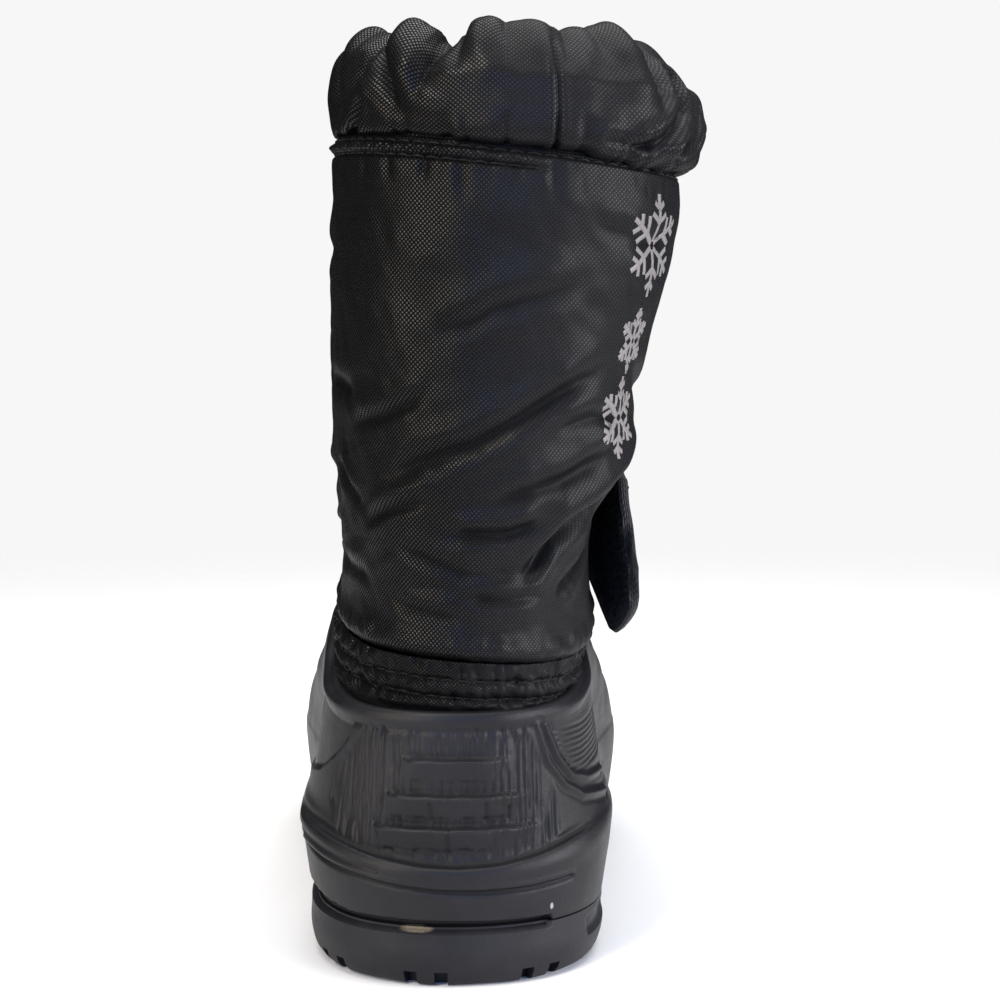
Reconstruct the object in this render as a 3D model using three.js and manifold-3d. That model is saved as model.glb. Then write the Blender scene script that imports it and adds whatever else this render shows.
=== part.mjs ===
// A child's right snow boot: a moulded rubber shell on a lugged outsole, a padded nylon shaft sewn to it
// with a narrow band, a gathered snow collar with an elastic pull cord, and one hook-and-loop ankle strap.
// Millimetres. +Z is up, +Y points to the toe, +X to the outer (lateral) side of the foot.
// The origin is on the floor, under the middle of the heel.
import * as THREE from "three";
import Module from "manifold-3d";
import { mergeVertices } from "three/addons/utils/BufferGeometryUtils.js";

const wasm = await Module();
wasm.setup();

// ---- Driving dimensions ----
const GAP = 0.3; // between pieces that touch
const SHELL_WALL = 3;
const SHAFT_WALL = 3.6;
const BAND_WALL = 3;
const INSOLE_THICKNESS = 4.5;
const STRAP_THICKNESS = 2.2;
const CORD_DIAMETER = 2.1;
const LUG_HEIGHT = 3.6;

const AROUND = 52; // points in a ring of the shell, shaft and sole
const AROUND_COLLAR = 84;

// ---- Rings ----
// A ring goes round the foot or the leg. It starts at the middle of the back and runs by the outer side,
// over the front and home by the inner side. A row of a table says how long and wide it is:
//   back, front          the ends, along Y
//   heel, waist, ball    the half widths at the three WIDTH_AT shares of its length
//   z                    the heights at the five HEIGHT_AT shares of its length
//   shift, ballOut       how far it sits to the outer side, and how much more it does so at the ball
//   toeIn                how far its front swings to the inner side
//   roll                 how much it drops towards the outer side, per mm
//   endBack, endFront    the shares of the length that the round ends take
const WIDTH_AT = [0.18, 0.42, 0.7];
const HEIGHT_AT = [0, 0.18, 0.42, 0.7, 1];
const ROUND_POWER = 2.25;
const LEG = { ballOut: 0, toeIn: 0, endBack: 0.5, endFront: 0.5 };
const FOOT = { shift: 0, ballOut: 2.2, roll: 0, endBack: 0.178, endFront: 0.3 };

const clamp01 = (x) => Math.min(1, Math.max(0, x));
const smooth = (x) => clamp01(x) ** 2 * (3 - 2 * clamp01(x));

// The value at x of a smooth curve through the points (xs[i], ys[i]).
function through(xs, ys, x) {
  if (x <= xs[0]) return ys[0];
  const last = xs.length - 1;
  if (x >= xs[last]) return ys[last];
  const i = xs.findIndex((at, k) => x <= xs[k + 1]);
  const slopeAt = (k) => {
    if (k === 0 || k === last) return 0;
    return (ys[k + 1] - ys[k - 1]) / (xs[k + 1] - xs[k - 1]);
  };
  const span = xs[i + 1] - xs[i];
  const t = (x - xs[i]) / span;
  const rise = ys[i + 1] - ys[i];
  const a = slopeAt(i) * span - rise;
  const b = rise - slopeAt(i + 1) * span;
  return ys[i] + rise * t + t * (1 - t) * (a * (1 - t) + b * t);
}

// The row at a fractional place v in a table, with every column on a smooth curve.
function rowAt(rows, v) {
  const places = rows.map((_, k) => k);
  const column = (read) => through(places, rows.map(read), v);
  const row = {};
  for (const name of Object.keys(rows[0])) {
    if (name === "z") row.z = HEIGHT_AT.map((_, k) => column((r) => r.z[k]));
    else row[name] = column((r) => r[name]);
  }
  return row;
}

// The point of a ring at a turn of 0 to 360 degrees from the middle of the back.
function ringPoint(row, turn) {
  const angle = THREE.MathUtils.degToRad(turn);
  const share = (1 - Math.cos(angle)) / 2;
  const side = Math.sign(Math.round(Math.sin(angle) * 1e9));
  const round = (u) => (1 - clamp01(u) ** ROUND_POWER) ** (1 / ROUND_POWER);
  const ends = round(1 - share / row.endBack) * round((share - 1 + row.endFront) / row.endFront);
  const half = through(WIDTH_AT, [row.heel, row.waist, row.ball], share) * ends;
  const atBall = Math.exp(-(((share - 0.68) / 0.2) ** 2));
  const middle = row.shift + row.ballOut * atBall - row.toeIn * smooth((share - 0.55) / 0.45);
  return new THREE.Vector3(
    middle + side * half,
    row.back + (row.front - row.back) * share,
    through(HEIGHT_AT, row.z, share) - row.roll * side * half,
  );
}

function ring(row, count = AROUND) {
  return Array.from({ length: count }, (_, k) => ringPoint(row, (360 * k) / count));
}

// Rings of a table, as many as asked, from its first row to its last.
function rings(rows, count, around = AROUND) {
  const last = rows.length - 1;
  return Array.from({ length: count }, (_, k) => ring(rowAt(rows, (last * k) / (count - 1)), around));
}

// The same rings moved inwards along the surface by a wall's thickness. The end rings keep their height.
function inset(outer, wall) {
  const last = outer.length - 1;
  return outer.map((points, i) =>
    points.map((p, j) => {
      const n = points.length;
      const along = new THREE.Vector3().subVectors(points[(j + 1) % n], points[(j + n - 1) % n]);
      const up = new THREE.Vector3().subVectors(outer[Math.min(i + 1, last)][j], outer[Math.max(i - 1, 0)][j]);
      const inwards = up.cross(along).setLength(wall);
      if (i === 0 || i === last) inwards.setZ(0).setLength(wall);
      return inwards.add(p);
    }),
  );
}

// ---- Meshes ----
function geometryOf(positions, index) {
  const geometry = new THREE.BufferGeometry();
  geometry.setAttribute("position", new THREE.Float32BufferAttribute(positions, 3));
  geometry.setIndex(index);
  geometry.computeVertexNormals();
  return geometry;
}

// A closed skin over rings that are stacked upwards: "wall" joins the last ring to the first,
// and "lids" closes the first and the last with strips from side to side.
function skin(stack, ending) {
  const around = stack[0].length;
  const index = [];
  const at = (i, j) => (i % stack.length) * around + (j % around);
  const quad = (a, b, c, d) => index.push(a, b, c, a, c, d);
  const bands = ending === "wall" ? stack.length : stack.length - 1;
  for (let i = 0; i < bands; i++)
    for (let j = 0; j < around; j++) quad(at(i, j), at(i, j + 1), at(i + 1, j + 1), at(i + 1, j));
  if (ending === "lids") {
    const top = stack.length - 1;
    for (let j = 0; j < around / 2; j++) {
      const [near, far] = [(around - j) % around, around - j - 1];
      quad(at(top, near), at(top, j), at(top, j + 1), at(top, far));
      quad(at(0, far), at(0, j + 1), at(0, j), at(0, near));
    }
  }
  const kept = [];
  for (let k = 0; k < index.length; k += 3) {
    const [a, b, c] = index.slice(k, k + 3);
    if (a !== b && b !== c && c !== a) kept.push(a, b, c);
  }
  return geometryOf(stack.flat().flatMap((p) => [p.x, p.y, p.z]), kept);
}

const hollow = (outer, wall) => skin([...outer, ...inset(outer, wall).reverse()], "wall");

function manifoldOf(geometry) {
  const bare = new THREE.BufferGeometry().setAttribute("position", geometry.getAttribute("position"));
  bare.setIndex(geometry.index);
  const merged = mergeVertices(bare, 1e-4);
  return new wasm.Manifold(
    new wasm.Mesh({
      numProp: 3,
      vertProperties: merged.attributes.position.array,
      triVerts: new Uint32Array(merged.index.array),
    }),
  );
}

function meshGeometry(manifold) {
  const mesh = manifold.getMesh();
  return geometryOf(mesh.vertProperties, [...mesh.triVerts]);
}

// ---- Outsole ----
// The underside is on the floor at the heel and the ball, lifts in the arch and springs up at the toe.
const HEEL_FLAT_END = 28;
const ARCH_LIFT = 3.2;
const BALL_FLAT = { start: 78, end: 122 };
const TOE_SPRING = { per: 0.0047 };

function treadHeight(y) {
  if (y > BALL_FLAT.end) return TOE_SPRING.per * (y - BALL_FLAT.end) ** 2;
  const share = clamp01((y - HEEL_FLAT_END) / (BALL_FLAT.start - HEEL_FLAT_END));
  return ARCH_LIFT * Math.sin(Math.PI * share) ** 2;
}

const BITE = { ...FOOT, toeIn: 4, back: -34.8, front: 163.5, heel: 34.8, waist: 33.8, ball: 42, z: [14, 14, 14.5, 13, 20] };
const SOLE_ROWS = [
  { lift: 0, back: -33.6, front: 159.5, heel: 32.6, waist: 31.2, ball: 39.4 },
  { lift: 2.6, back: -34.3, front: 161.9, heel: 34.1, waist: 32.4, ball: 40.8 },
  { lift: 8, back: -34.8, front: 163.2, heel: 34.6, waist: 33.4, ball: 41.8 },
].map((row) => ({ ...BITE, ...row }));

function soleRing(row) {
  return ring(row).map((p) => p.setZ(treadHeight(p.y) + row.lift));
}

// A block that reaches from below the floor to the bottom of the grooves.
function groove(x, y, width, length, turn) {
  const below = 3;
  const block = new THREE.BoxGeometry(width, length, LUG_HEIGHT + below);
  block.rotateZ(turn);
  block.translate(x, y, treadHeight(y) + (LUG_HEIGHT - below) / 2);
  return manifoldOf(block);
}

// Pairs of notches run round the edge, each pair with a narrow lug between its two notches.
const NOTCH = { pairs: 18, first: -6.4, apart: 7, width: 3, depth: 18 };
function edgeNotches() {
  const outline = soleRing(SOLE_ROWS[0]);
  const curve = new THREE.CatmullRomCurve3(outline, true, "centripetal");
  const length = curve.getLength();
  const notches = [];
  for (let k = 0; k < NOTCH.pairs; k++)
    for (const side of [-0.5, 0.5]) {
      const place = NOTCH.first + (length * k) / NOTCH.pairs + side * NOTCH.apart;
      const share = (((place / length) % 1) + 1) % 1;
      const p = curve.getPointAt(share);
      const along = curve.getTangentAt(share);
      notches.push(groove(p.x, p.y, NOTCH.width, NOTCH.depth, Math.atan2(along.y, along.x)));
    }
  return notches;
}

// A channel parts the edge lugs from the inner ones, which cross grooves part from each other.
const CHANNEL = { inset: 9, width: 3 };
const CROSS = { width: 3.2, length: 62, slant: 0.16, places: [-19, -9, 9, 19, 83, 94, 112, 123, 134] };
function channel() {
  const edge = (away) => {
    const row = SOLE_ROWS[0];
    return {
      ...row,
      back: row.back + away,
      front: row.front - away,
      heel: row.heel - away,
      waist: row.waist - away,
      ball: row.ball - away,
    };
  };
  const loop = (away, z) => ring(edge(away)).map((p) => p.setZ(treadHeight(p.y) + z));
  const inner = CHANNEL.inset + CHANNEL.width;
  const stack = [loop(CHANNEL.inset, -3), loop(CHANNEL.inset, LUG_HEIGHT), loop(inner, LUG_HEIGHT), loop(inner, -3)];
  return manifoldOf(skin(stack, "wall"));
}

// The cross grooves end in the channel, so the edge lugs stay whole.
function crossGrooves() {
  const bars = CROSS.places.map((y, k) => groove(0, y, CROSS.length, CROSS.width, k % 2 ? CROSS.slant : -CROSS.slant));
  const row = SOLE_ROWS[0];
  const away = CHANNEL.inset + CHANNEL.width / 2;
  const field = {
    ...row,
    back: row.back + away,
    front: row.front - away,
    heel: row.heel - away,
    waist: row.waist - away,
    ball: row.ball - away,
  };
  const floorRing = (z) => ring(field).map((p) => p.setZ(z));
  const inside = manifoldOf(skin([floorRing(-5), floorRing(30)], "lids"));
  return bars.map((bar) => bar.intersect(inside));
}

function outsole() {
  const top = ring(BITE).map((p) => p.setZ(p.z - GAP));
  const block = manifoldOf(skin([...SOLE_ROWS.map(soleRing), top], "lids"));
  const cuts = [...edgeNotches(), channel(), ...crossGrooves()];
  return meshGeometry(block.subtract(wasm.Manifold.union(cuts)));
}

// ---- Shell ----
// From the line where it meets the outsole, over the proud rand and its ledge, up the toe box and the vamp
// to the rim, which is low behind the heel and climbs to the instep.
const SHELL_ROWS = [
  BITE,
  { toeIn: 4.2, back: -35.6, front: 165, heel: 36, waist: 34.8, ball: 43.2, z: [20, 22, 22, 19, 27] },
  { toeIn: 4.2, back: -35.9, front: 164.6, heel: 37.3, waist: 35.8, ball: 44, z: [27, 33.5, 32.5, 28, 33] },
  { toeIn: 4, back: -34.5, front: 161.8, heel: 35.8, waist: 35, ball: 43.8, z: [30.2, 38, 37, 33, 38.4] },
  { toeIn: 3.4, back: -33.6, front: 153.5, heel: 35, waist: 34.4, ball: 42.4, z: [39, 45, 45, 42, 46.8] },
  { toeIn: 2.4, back: -32.6, front: 134, heel: 34.1, waist: 33.8, ball: 39.6, z: [48, 51.5, 53, 52, 54.6] },
  { toeIn: 1, back: -31.6, front: 104, heel: 33.2, waist: 32.8, ball: 35.8, z: [55.6, 57.5, 60.5, 63.5, 65.2] },
  { toeIn: 0, back: -30.8, front: 74, heel: 32.4, waist: 31.8, ball: 31.8, z: [61.5, 62, 66, 76, 84] },
].map((row, k, all) => {
  // The round ends grow from the long, flat-sided sole to the nearly oval rim.
  const share = k / (all.length - 1);
  const ends = { endBack: 0.178 + 0.2 * share ** 2, endFront: 0.3 + 0.16 * share ** 2 };
  return { ...FOOT, ...row, ...ends, ballOut: FOOT.ballOut * (1 - share ** 2) };
});
const SHELL_RINGS = 15;

// ---- Band, shaft and collar ----
const slope = (back, front) => HEIGHT_AT.map((share) => back + (front - back) * share);
const RIM = SHELL_ROWS.at(-1);
const HEM_Z = [73.5, 73.5, 75.8, 86, 94];
const HEM_ROLL = 0.08;
// The band's lower rings are tucked inside the rim. These rows are what shows above it.
const BAND_ROWS = [
  { half: 30, shift: 0.6, back: -28.4, front: 71.4, roll: 0.02, z: RIM.z.map((z, k) => z + 0.35 * (HEM_Z[k] - z)) },
  { half: 30.6, shift: 1.4, back: -29.6, front: 71, roll: 0.06, z: RIM.z.map((z, k) => z + 0.75 * (HEM_Z[k] - z)) },
  { half: 30, shift: 1.6, back: -29.4, front: 69.6, roll: HEM_ROLL, z: HEM_Z.map((z) => z - GAP) },
];

// The shaft is drawn in at the ankle by the strap, and leans to the outer side as it widens to the collar.
const SHAFT_ROWS = [
  { half: 31.2, shift: 2.2, back: -30.2, front: 70.4, roll: HEM_ROLL, z: HEM_Z },
  { half: 29.6, shift: 2.3, back: -29.7, front: 65.5, roll: 0.03, z: [83, 84, 87, 95.5, 103] },
  { half: 30, shift: 2, back: -29.4, front: 62.5, roll: 0, z: slope(95, 110) },
  { half: 32, shift: 3.4, back: -29.8, front: 61, roll: 0.01, z: slope(104, 118) },
  { half: 35, shift: 5.8, back: -31.2, front: 60.6, roll: 0.03, z: slope(111.5, 125) },
  { half: 36.2, shift: 6.8, back: -32.2, front: 60.6, roll: 0.05, z: slope(133, 142) },
  { half: 38.7, shift: 9, back: -33.4, front: 61, roll: 0.07, z: slope(151, 157) },
  { half: 40.8, shift: 11.3, back: -34.2, front: 61.8, roll: 0.09, z: slope(169, 172) },
  { half: 40.8, shift: 12.2, back: -34, front: 62.2, roll: 0.11, z: slope(187, 187) },
];
const legRow = ({ half, ...row }) => ({ ...LEG, roll: 0, ...row, heel: half, waist: half, ball: half });
const TUCKED_RINGS = 3;
const SHAFT_RINGS = 12;

function band() {
  const tucked = inset(rings(SHELL_ROWS, SHELL_RINGS), SHELL_WALL + GAP).slice(-TUCKED_RINGS);
  return hollow([...tucked, ...BAND_ROWS.map((row) => ring(legRow(row)))], BAND_WALL);
}

// The collar puffs out over its seam and turns in at the top, where the cord gathers it.
// out is how far a ring stands outside the shaft's top, aside how far it leans to the outer side,
// up is its height over the seam, and gather is the share of each pucker's depth that it takes.
const COLLAR_ROWS = [
  { out: 0.4, aside: 0, up: GAP, gather: 0 },
  { out: 2.6, aside: 2.1, up: 1.5, gather: 0.05 },
  { out: 2.8, aside: 2.6, up: 8, gather: 0.12 },
  { out: 1.7, aside: 1.9, up: 15.5, gather: 0.3 },
  { out: -1.6, aside: -0.6, up: 22.2, gather: 0.65 },
  { out: -6, aside: -1.2, up: 26.8, gather: 0.95 },
  { out: -9.6, aside: -1.2, up: 27.8, gather: 1 },
  { out: -11.6, aside: -1.2, up: 24.6, gather: 0.9 },
  { out: -9.6, aside: -0.4, up: 17, gather: 0.4 },
  { out: -5.4, aside: 0, up: 8, gather: 0.1 },
  { out: -SHAFT_WALL, aside: 0, up: GAP, gather: 0 },
];
// Puckers by their turn from the middle of the back, with the width they take, how far they dip and pinch in.
const PUCKERS = [
  { turn: 24, wide: 7, dip: 0.8, pinch: 1.2 },
  { turn: 57, wide: 8, dip: 3, pinch: 2.6 },
  { turn: 86, wide: 9, dip: 3.2, pinch: 3 },
  { turn: 110, wide: 9, dip: 3, pinch: 2.6 },
  { turn: 134, wide: 9, dip: 2.6, pinch: 2.6 },
  { turn: 160, wide: 9, dip: 2.8, pinch: 2.4 },
  { turn: 203, wide: 9, dip: 2.8, pinch: 2.4 },
  { turn: 229, wide: 9, dip: 2.6, pinch: 2.6 },
  { turn: 254, wide: 9, dip: 3, pinch: 2.8 },
  { turn: 280, wide: 9, dip: 3.4, pinch: 2.8 },
  { turn: 311, wide: 8, dip: 3.6, pinch: 3.8 },
  { turn: 339, wide: 8, dip: 4.8, pinch: 2.8 },
];
// The top is nearly level, while the seam drops to the outer side.
const LEVELLED = 0.8;
function pucker(turn, depth) {
  return PUCKERS.reduce((sum, one) => {
    const away = Math.abs(((turn - one.turn + 540) % 360) - 180) / one.wide;
    return sum + one[depth] * Math.exp(-(away ** 2));
  }, 0);
}

function collar() {
  const seam = legRow(SHAFT_ROWS.at(-1));
  const stack = COLLAR_ROWS.map(({ out, aside, up, gather }) => {
    const row = {
      ...seam,
      shift: seam.shift + aside,
      back: seam.back - out,
      front: seam.front + out,
      heel: seam.heel + out,
      waist: seam.waist + out,
      ball: seam.ball + out,
    };
    const centre = new THREE.Vector3(seam.shift, (seam.back + seam.front) / 2, 0);
    return ring(row, AROUND_COLLAR).map((p, k) => {
      const turn = (360 * k) / AROUND_COLLAR;
      const inwards = new THREE.Vector3().subVectors(centre, p).setZ(0).normalize();
      p.addScaledVector(inwards, pucker(turn, "pinch") * gather);
      const level = ringPoint({ ...seam, roll: seam.roll * (1 - LEVELLED * gather) }, turn).z;
      return p.setZ(level + up - pucker(turn, "dip") * gather);
    });
  });
  return skin(stack, "wall");
}

// ---- Strap ----
// It is sewn down on the inner side, crosses the instep and stands off at its free end on the outer side.
// turn is the place round the shaft, low and high are its edges, and off is how far it stands off the shaft.
const STRAP_ROWS = [
  { turn: 240, low: 88.5, high: 121, off: 0.7 },
  { turn: 228, low: 91.5, high: 124, off: 0.7 },
  { turn: 210, low: 95.5, high: 128, off: 0.9 },
  { turn: 192, low: 98, high: 131, off: 1.1 },
  { turn: 176, low: 98.5, high: 132, off: 1.2 },
  { turn: 158, low: 97, high: 130.5, off: 1.2 },
  { turn: 138, low: 92.5, high: 126.5, off: 1.2 },
  { turn: 119, low: 85.5, high: 120.5, off: 1.5 },
  { turn: 105, low: 78, high: 114.5, off: 2.6 },
  { turn: 96, low: 73, high: 111, off: 4 },
  { turn: 91, low: 71.4, high: 109, off: 5.3 },
  { turn: 84, low: 78, high: 98, off: 9.2 },
  { turn: 82, low: 83.6, high: 88, off: 10.4 },
];
const STRAP_STATIONS = 40;
const shaftRows = SHAFT_ROWS.map(legRow);

// The point of the shaft's outside at a turn and a height.
function onShaft(turn, z) {
  let [low, high] = [0, shaftRows.length - 1];
  for (let step = 0; step < 24; step++) {
    const middle = (low + high) / 2;
    if (ringPoint(rowAt(shaftRows, middle), turn).z < z) low = middle;
    else high = middle;
  }
  return ringPoint(rowAt(shaftRows, low), turn).setZ(z);
}

function strap() {
  const places = STRAP_ROWS.map((_, k) => k);
  const read = (name, v) => through(places, STRAP_ROWS.map((row) => row[name]), v);
  const stations = Array.from({ length: STRAP_STATIONS }, (_, k) => {
    const v = ((places.length - 1) * k) / (STRAP_STATIONS - 1);
    const turn = read("turn", v);
    const outwards = new THREE.Vector3()
      .subVectors(onShaft(turn - 1, 100), onShaft(turn + 1, 100))
      .cross(new THREE.Vector3(0, 0, -1))
      .setZ(0)
      .normalize();
    const edge = (name, away) => onShaft(turn, read(name, v)).addScaledVector(outwards, away);
    const off = read("off", v);
    return [
      edge("low", off),
      edge("low", off + STRAP_THICKNESS),
      edge("high", off + STRAP_THICKNESS),
      edge("high", off),
    ];
  });
  const index = [];
  const quad = (a, b, c, d) => index.push(a, b, c, a, c, d);
  for (let i = 0; i + 1 < stations.length; i++)
    for (let j = 0; j < 4; j++) {
      const next = (j + 1) % 4;
      quad(4 * i + j, 4 * i + next, 4 * i + 4 + next, 4 * i + 4 + j);
    }
  const last = 4 * (stations.length - 1);
  quad(3, 2, 1, 0);
  quad(last, last + 1, last + 2, last + 3);
  return geometryOf(stations.flat().flatMap((p) => [p.x, p.y, p.z]), index);
}

// ---- Insole ----
function insole() {
  const clear = SHELL_WALL + 1;
  const row = {
    ...BITE,
    back: BITE.back + clear,
    front: BITE.front - clear,
    heel: BITE.heel - clear,
    waist: BITE.waist - clear,
    ball: BITE.ball - clear,
  };
  const at = (lift) => ring(row).map((p) => p.setZ(p.z + lift));
  return skin([at(0), at(INSOLE_THICKNESS)], "lids");
}

// ---- Pull cord ----
// The loop of elastic cord comes out of the front of the collar, hangs down and goes back in.
const CORD_ROUTE = [
  [5.8, 63.7, 203.1],
  [5.6, 65.2, 203.5],
  [5.4, 66.4, 202.3],
  [5.3, 66.7, 199.8],
  [5.3, 66.7, 196],
  [5.5, 66.6, 191.5],
  [5.8, 66.2, 186.5],
  [5.9, 65.8, 181.5],
  [6.6, 65.4, 176.5],
  [8.4, 65.1, 172.4],
  [11.4, 65, 170.2],
  [14.8, 65, 170.4],
  [17.4, 65.2, 173],
  [18.6, 65.6, 177.4],
  [18.9, 66.1, 182.4],
  [19, 66.6, 187.4],
  [19.2, 67, 192.2],
  [19.3, 67.1, 196.6],
  [19.3, 67, 199.9],
  [19.2, 66.5, 202.2],
  [19, 65.3, 203.5],
  [18.8, 63.7, 203.1],
];
const CORD_SIDES = 8;
const CORD_STEPS = 36;

function pullCord() {
  const route = new THREE.CatmullRomCurve3(CORD_ROUTE.map((p) => new THREE.Vector3(...p)), false, "centripetal");
  const section = new THREE.Shape();
  for (let k = 0; k < CORD_SIDES; k++) {
    const angle = (2 * Math.PI * k) / CORD_SIDES;
    const [x, y] = [Math.cos(angle), Math.sin(angle)].map((v) => (v * CORD_DIAMETER) / 2);
    if (k === 0) section.moveTo(x, y);
    else section.lineTo(x, y);
  }
  section.closePath();
  return new THREE.ExtrudeGeometry(section, { steps: CORD_STEPS, extrudePath: route });
}

// ---- The boot ----
const RUBBER = { color: 0x333336, roughness: 0.62, metalness: 0 };
const NYLON = { color: 0x1b1c20, roughness: 0.55, metalness: 0 };
const WEBBING = { color: 0x0c0c0f, roughness: 0.85, metalness: 0 };
const FELT = { color: 0x3a3a3d, roughness: 0.95, metalness: 0 };

const boot = new THREE.Group();
function add(name, geometry, finish) {
  const mesh = new THREE.Mesh(geometry, new THREE.MeshStandardMaterial(finish));
  mesh.name = name;
  boot.add(mesh);
}
add("outsole", outsole(), RUBBER);
add("shell", hollow(rings(SHELL_ROWS, SHELL_RINGS), SHELL_WALL), RUBBER);
add("band", band(), NYLON);
add("shaft", hollow(rings(shaftRows, SHAFT_RINGS), SHAFT_WALL), NYLON);
add("collar", collar(), NYLON);
add("strap", strap(), WEBBING);
add("insole", insole(), FELT);
add("pull_cord", pullCord(), WEBBING);

export default boot;
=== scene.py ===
# %% [markdown]
# # A child's snow boot
#
# The solid model of the boot is loaded first. It fixes every size and place, and this lesson only dresses
# it: each soft or moulded piece is read off the solid with rays, given its creases, grooves and seams, and
# finished with a material built from nodes.

import math

import bmesh
import bpy
import numpy as np
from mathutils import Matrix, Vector
from mathutils.bvhtree import BVHTree


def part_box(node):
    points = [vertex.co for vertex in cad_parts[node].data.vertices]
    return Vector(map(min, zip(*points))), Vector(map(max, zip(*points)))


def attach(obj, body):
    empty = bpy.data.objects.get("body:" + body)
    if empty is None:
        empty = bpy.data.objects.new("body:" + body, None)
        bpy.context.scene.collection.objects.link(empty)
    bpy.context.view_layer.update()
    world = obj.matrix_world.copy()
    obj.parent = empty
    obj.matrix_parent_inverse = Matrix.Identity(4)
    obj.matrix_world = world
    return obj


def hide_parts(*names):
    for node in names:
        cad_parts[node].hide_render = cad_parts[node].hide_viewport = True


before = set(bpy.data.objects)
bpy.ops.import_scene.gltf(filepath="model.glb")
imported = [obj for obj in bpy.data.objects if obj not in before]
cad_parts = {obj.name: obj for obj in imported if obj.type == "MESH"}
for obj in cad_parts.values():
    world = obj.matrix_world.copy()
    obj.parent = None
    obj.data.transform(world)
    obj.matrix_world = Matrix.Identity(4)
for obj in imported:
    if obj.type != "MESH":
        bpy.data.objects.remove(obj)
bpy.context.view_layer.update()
MM = 0.001
scene = bpy.context.scene
print("solid pieces:", sorted(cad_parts))

# %% [markdown]
# ## Camera
#
# The boot is seen from behind, at about the height of its leg, with the eye tipped a little down. A long
# lens from half a metre keeps the heel from looking too large. The camera is turned a touch to the outer
# side, because the leg leans that way and the boot should sit in the middle of the picture.

# %% Camera behind the heel
SENSOR, LENS = 36.0, 74.3  # mm
EYE_BEHIND_HEEL, EYE_HEIGHT = 448 * MM, 158 * MM
TIP_DOWN, TURN_OUT = 6.05, 1.22  # degrees

heel_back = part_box("shell")[0].y
camera = bpy.data.objects.new("camera", bpy.data.cameras.new("camera"))
scene.collection.objects.link(camera)
camera.data.sensor_width = SENSOR
camera.data.lens = LENS
camera.location = (0, heel_back - EYE_BEHIND_HEEL, EYE_HEIGHT)
camera.rotation_euler = (math.radians(90 - TIP_DOWN), 0, math.radians(-TURN_OUT))
scene.camera = camera
print("camera at", [round(x / MM) for x in camera.location], "mm")

# %% [markdown]
# ## Helpers for lattices
#
# Most pieces of a boot are bent sheets, so they are made as lattices: rows of points from low to high,
# columns round the leg. One function turns such a table of points into a mesh of quads with a UV map in
# metres, so a weave keeps its real size on every piece.

# %% Lattice to mesh
def new_object(name, mesh):
    made = bpy.data.objects.new(name, mesh)
    scene.collection.objects.link(made)
    return made


def lattice(name, points, uv=None, ring=True, tube=False):
    """A mesh through points[row, column]. ring joins the last column to the first, and tube the last row."""
    rows, columns = points.shape[:2]
    row = np.arange(rows if tube else rows - 1)
    column = np.arange(columns if ring else columns - 1)
    i, j = (grid.ravel() for grid in np.meshgrid(row, column, indexing="ij"))
    corners = [(i, j), (i, j + 1), (i + 1, j + 1), (i + 1, j)]
    quads = np.stack([(a % rows) * columns + b % columns for a, b in corners], axis=1)
    mesh = bpy.data.meshes.new(name)
    mesh.from_pydata(points.reshape(-1, 3).tolist(), [], quads.tolist())
    if uv is not None:
        places = np.stack([uv[a, b] for a, b in corners], axis=1)
        mesh.uv_layers.new(name="cloth").data.foreach_set("uv", places.astype(np.float32).ravel())
    mesh.polygons.foreach_set("use_smooth", np.ones(len(quads), bool))
    mesh.update()
    return new_object(name, mesh)


def point_values(piece, name, values):
    """Gives each point of a mesh one number that a material reads. Points past the table's end get nought."""
    column = np.zeros(len(piece.data.vertices), np.float32)
    column[:values.size] = values.ravel()
    piece.data.attributes.new(name, "FLOAT", "POINT").data.foreach_set("value", column)


def outward(points, ring=True):
    """Unit normals of a lattice, by differences between neighbours."""
    if ring:
        along = np.roll(points, -1, axis=1) - np.roll(points, 1, axis=1)
    else:
        along = np.gradient(points, axis=1)
    normal = np.cross(along, np.gradient(points, axis=0))
    return normal / np.maximum(np.linalg.norm(normal, axis=2, keepdims=True), 1e-12)


def cloth_uv(points, ring=True):
    """Lengths along the rows and up the columns, one row and column more than the points."""
    wrapped = np.concatenate([points, points[:, :1]], axis=1)
    step = np.linalg.norm(np.diff(wrapped, axis=1), axis=2).mean(axis=0)
    u = np.concatenate([[0], np.cumsum(step)])
    closed = np.concatenate([points, points[:1]], axis=0)
    rise = np.linalg.norm(np.diff(closed, axis=0), axis=2).mean(axis=1)
    v = np.concatenate([[0], np.cumsum(rise)])
    return np.stack(np.meshgrid(u, v), axis=2)


def smoothstep(low, high, x):
    t = np.clip((x - low) / (high - low), 0, 1)
    return t * t * (3 - 2 * t)


def bell(x, width):
    return np.exp(-((x / width) ** 2))


def value_noise(x, y, seed, columns=512, rows=512):
    """Smooth random heights from -1 to 1 with one random value at every whole x and y."""
    table = np.random.default_rng(seed).uniform(-1, 1, (rows, columns))
    i, j = np.floor(y).astype(int), np.floor(x).astype(int)
    a, b = smoothstep(0, 1, y - i), smoothstep(0, 1, x - j)
    at = lambda di, dj: table[(i + di) % rows, (j + dj) % columns]
    return (at(0, 0) * (1 - b) + at(0, 1) * b) * (1 - a) + (at(1, 0) * (1 - b) + at(1, 1) * b) * a
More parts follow.
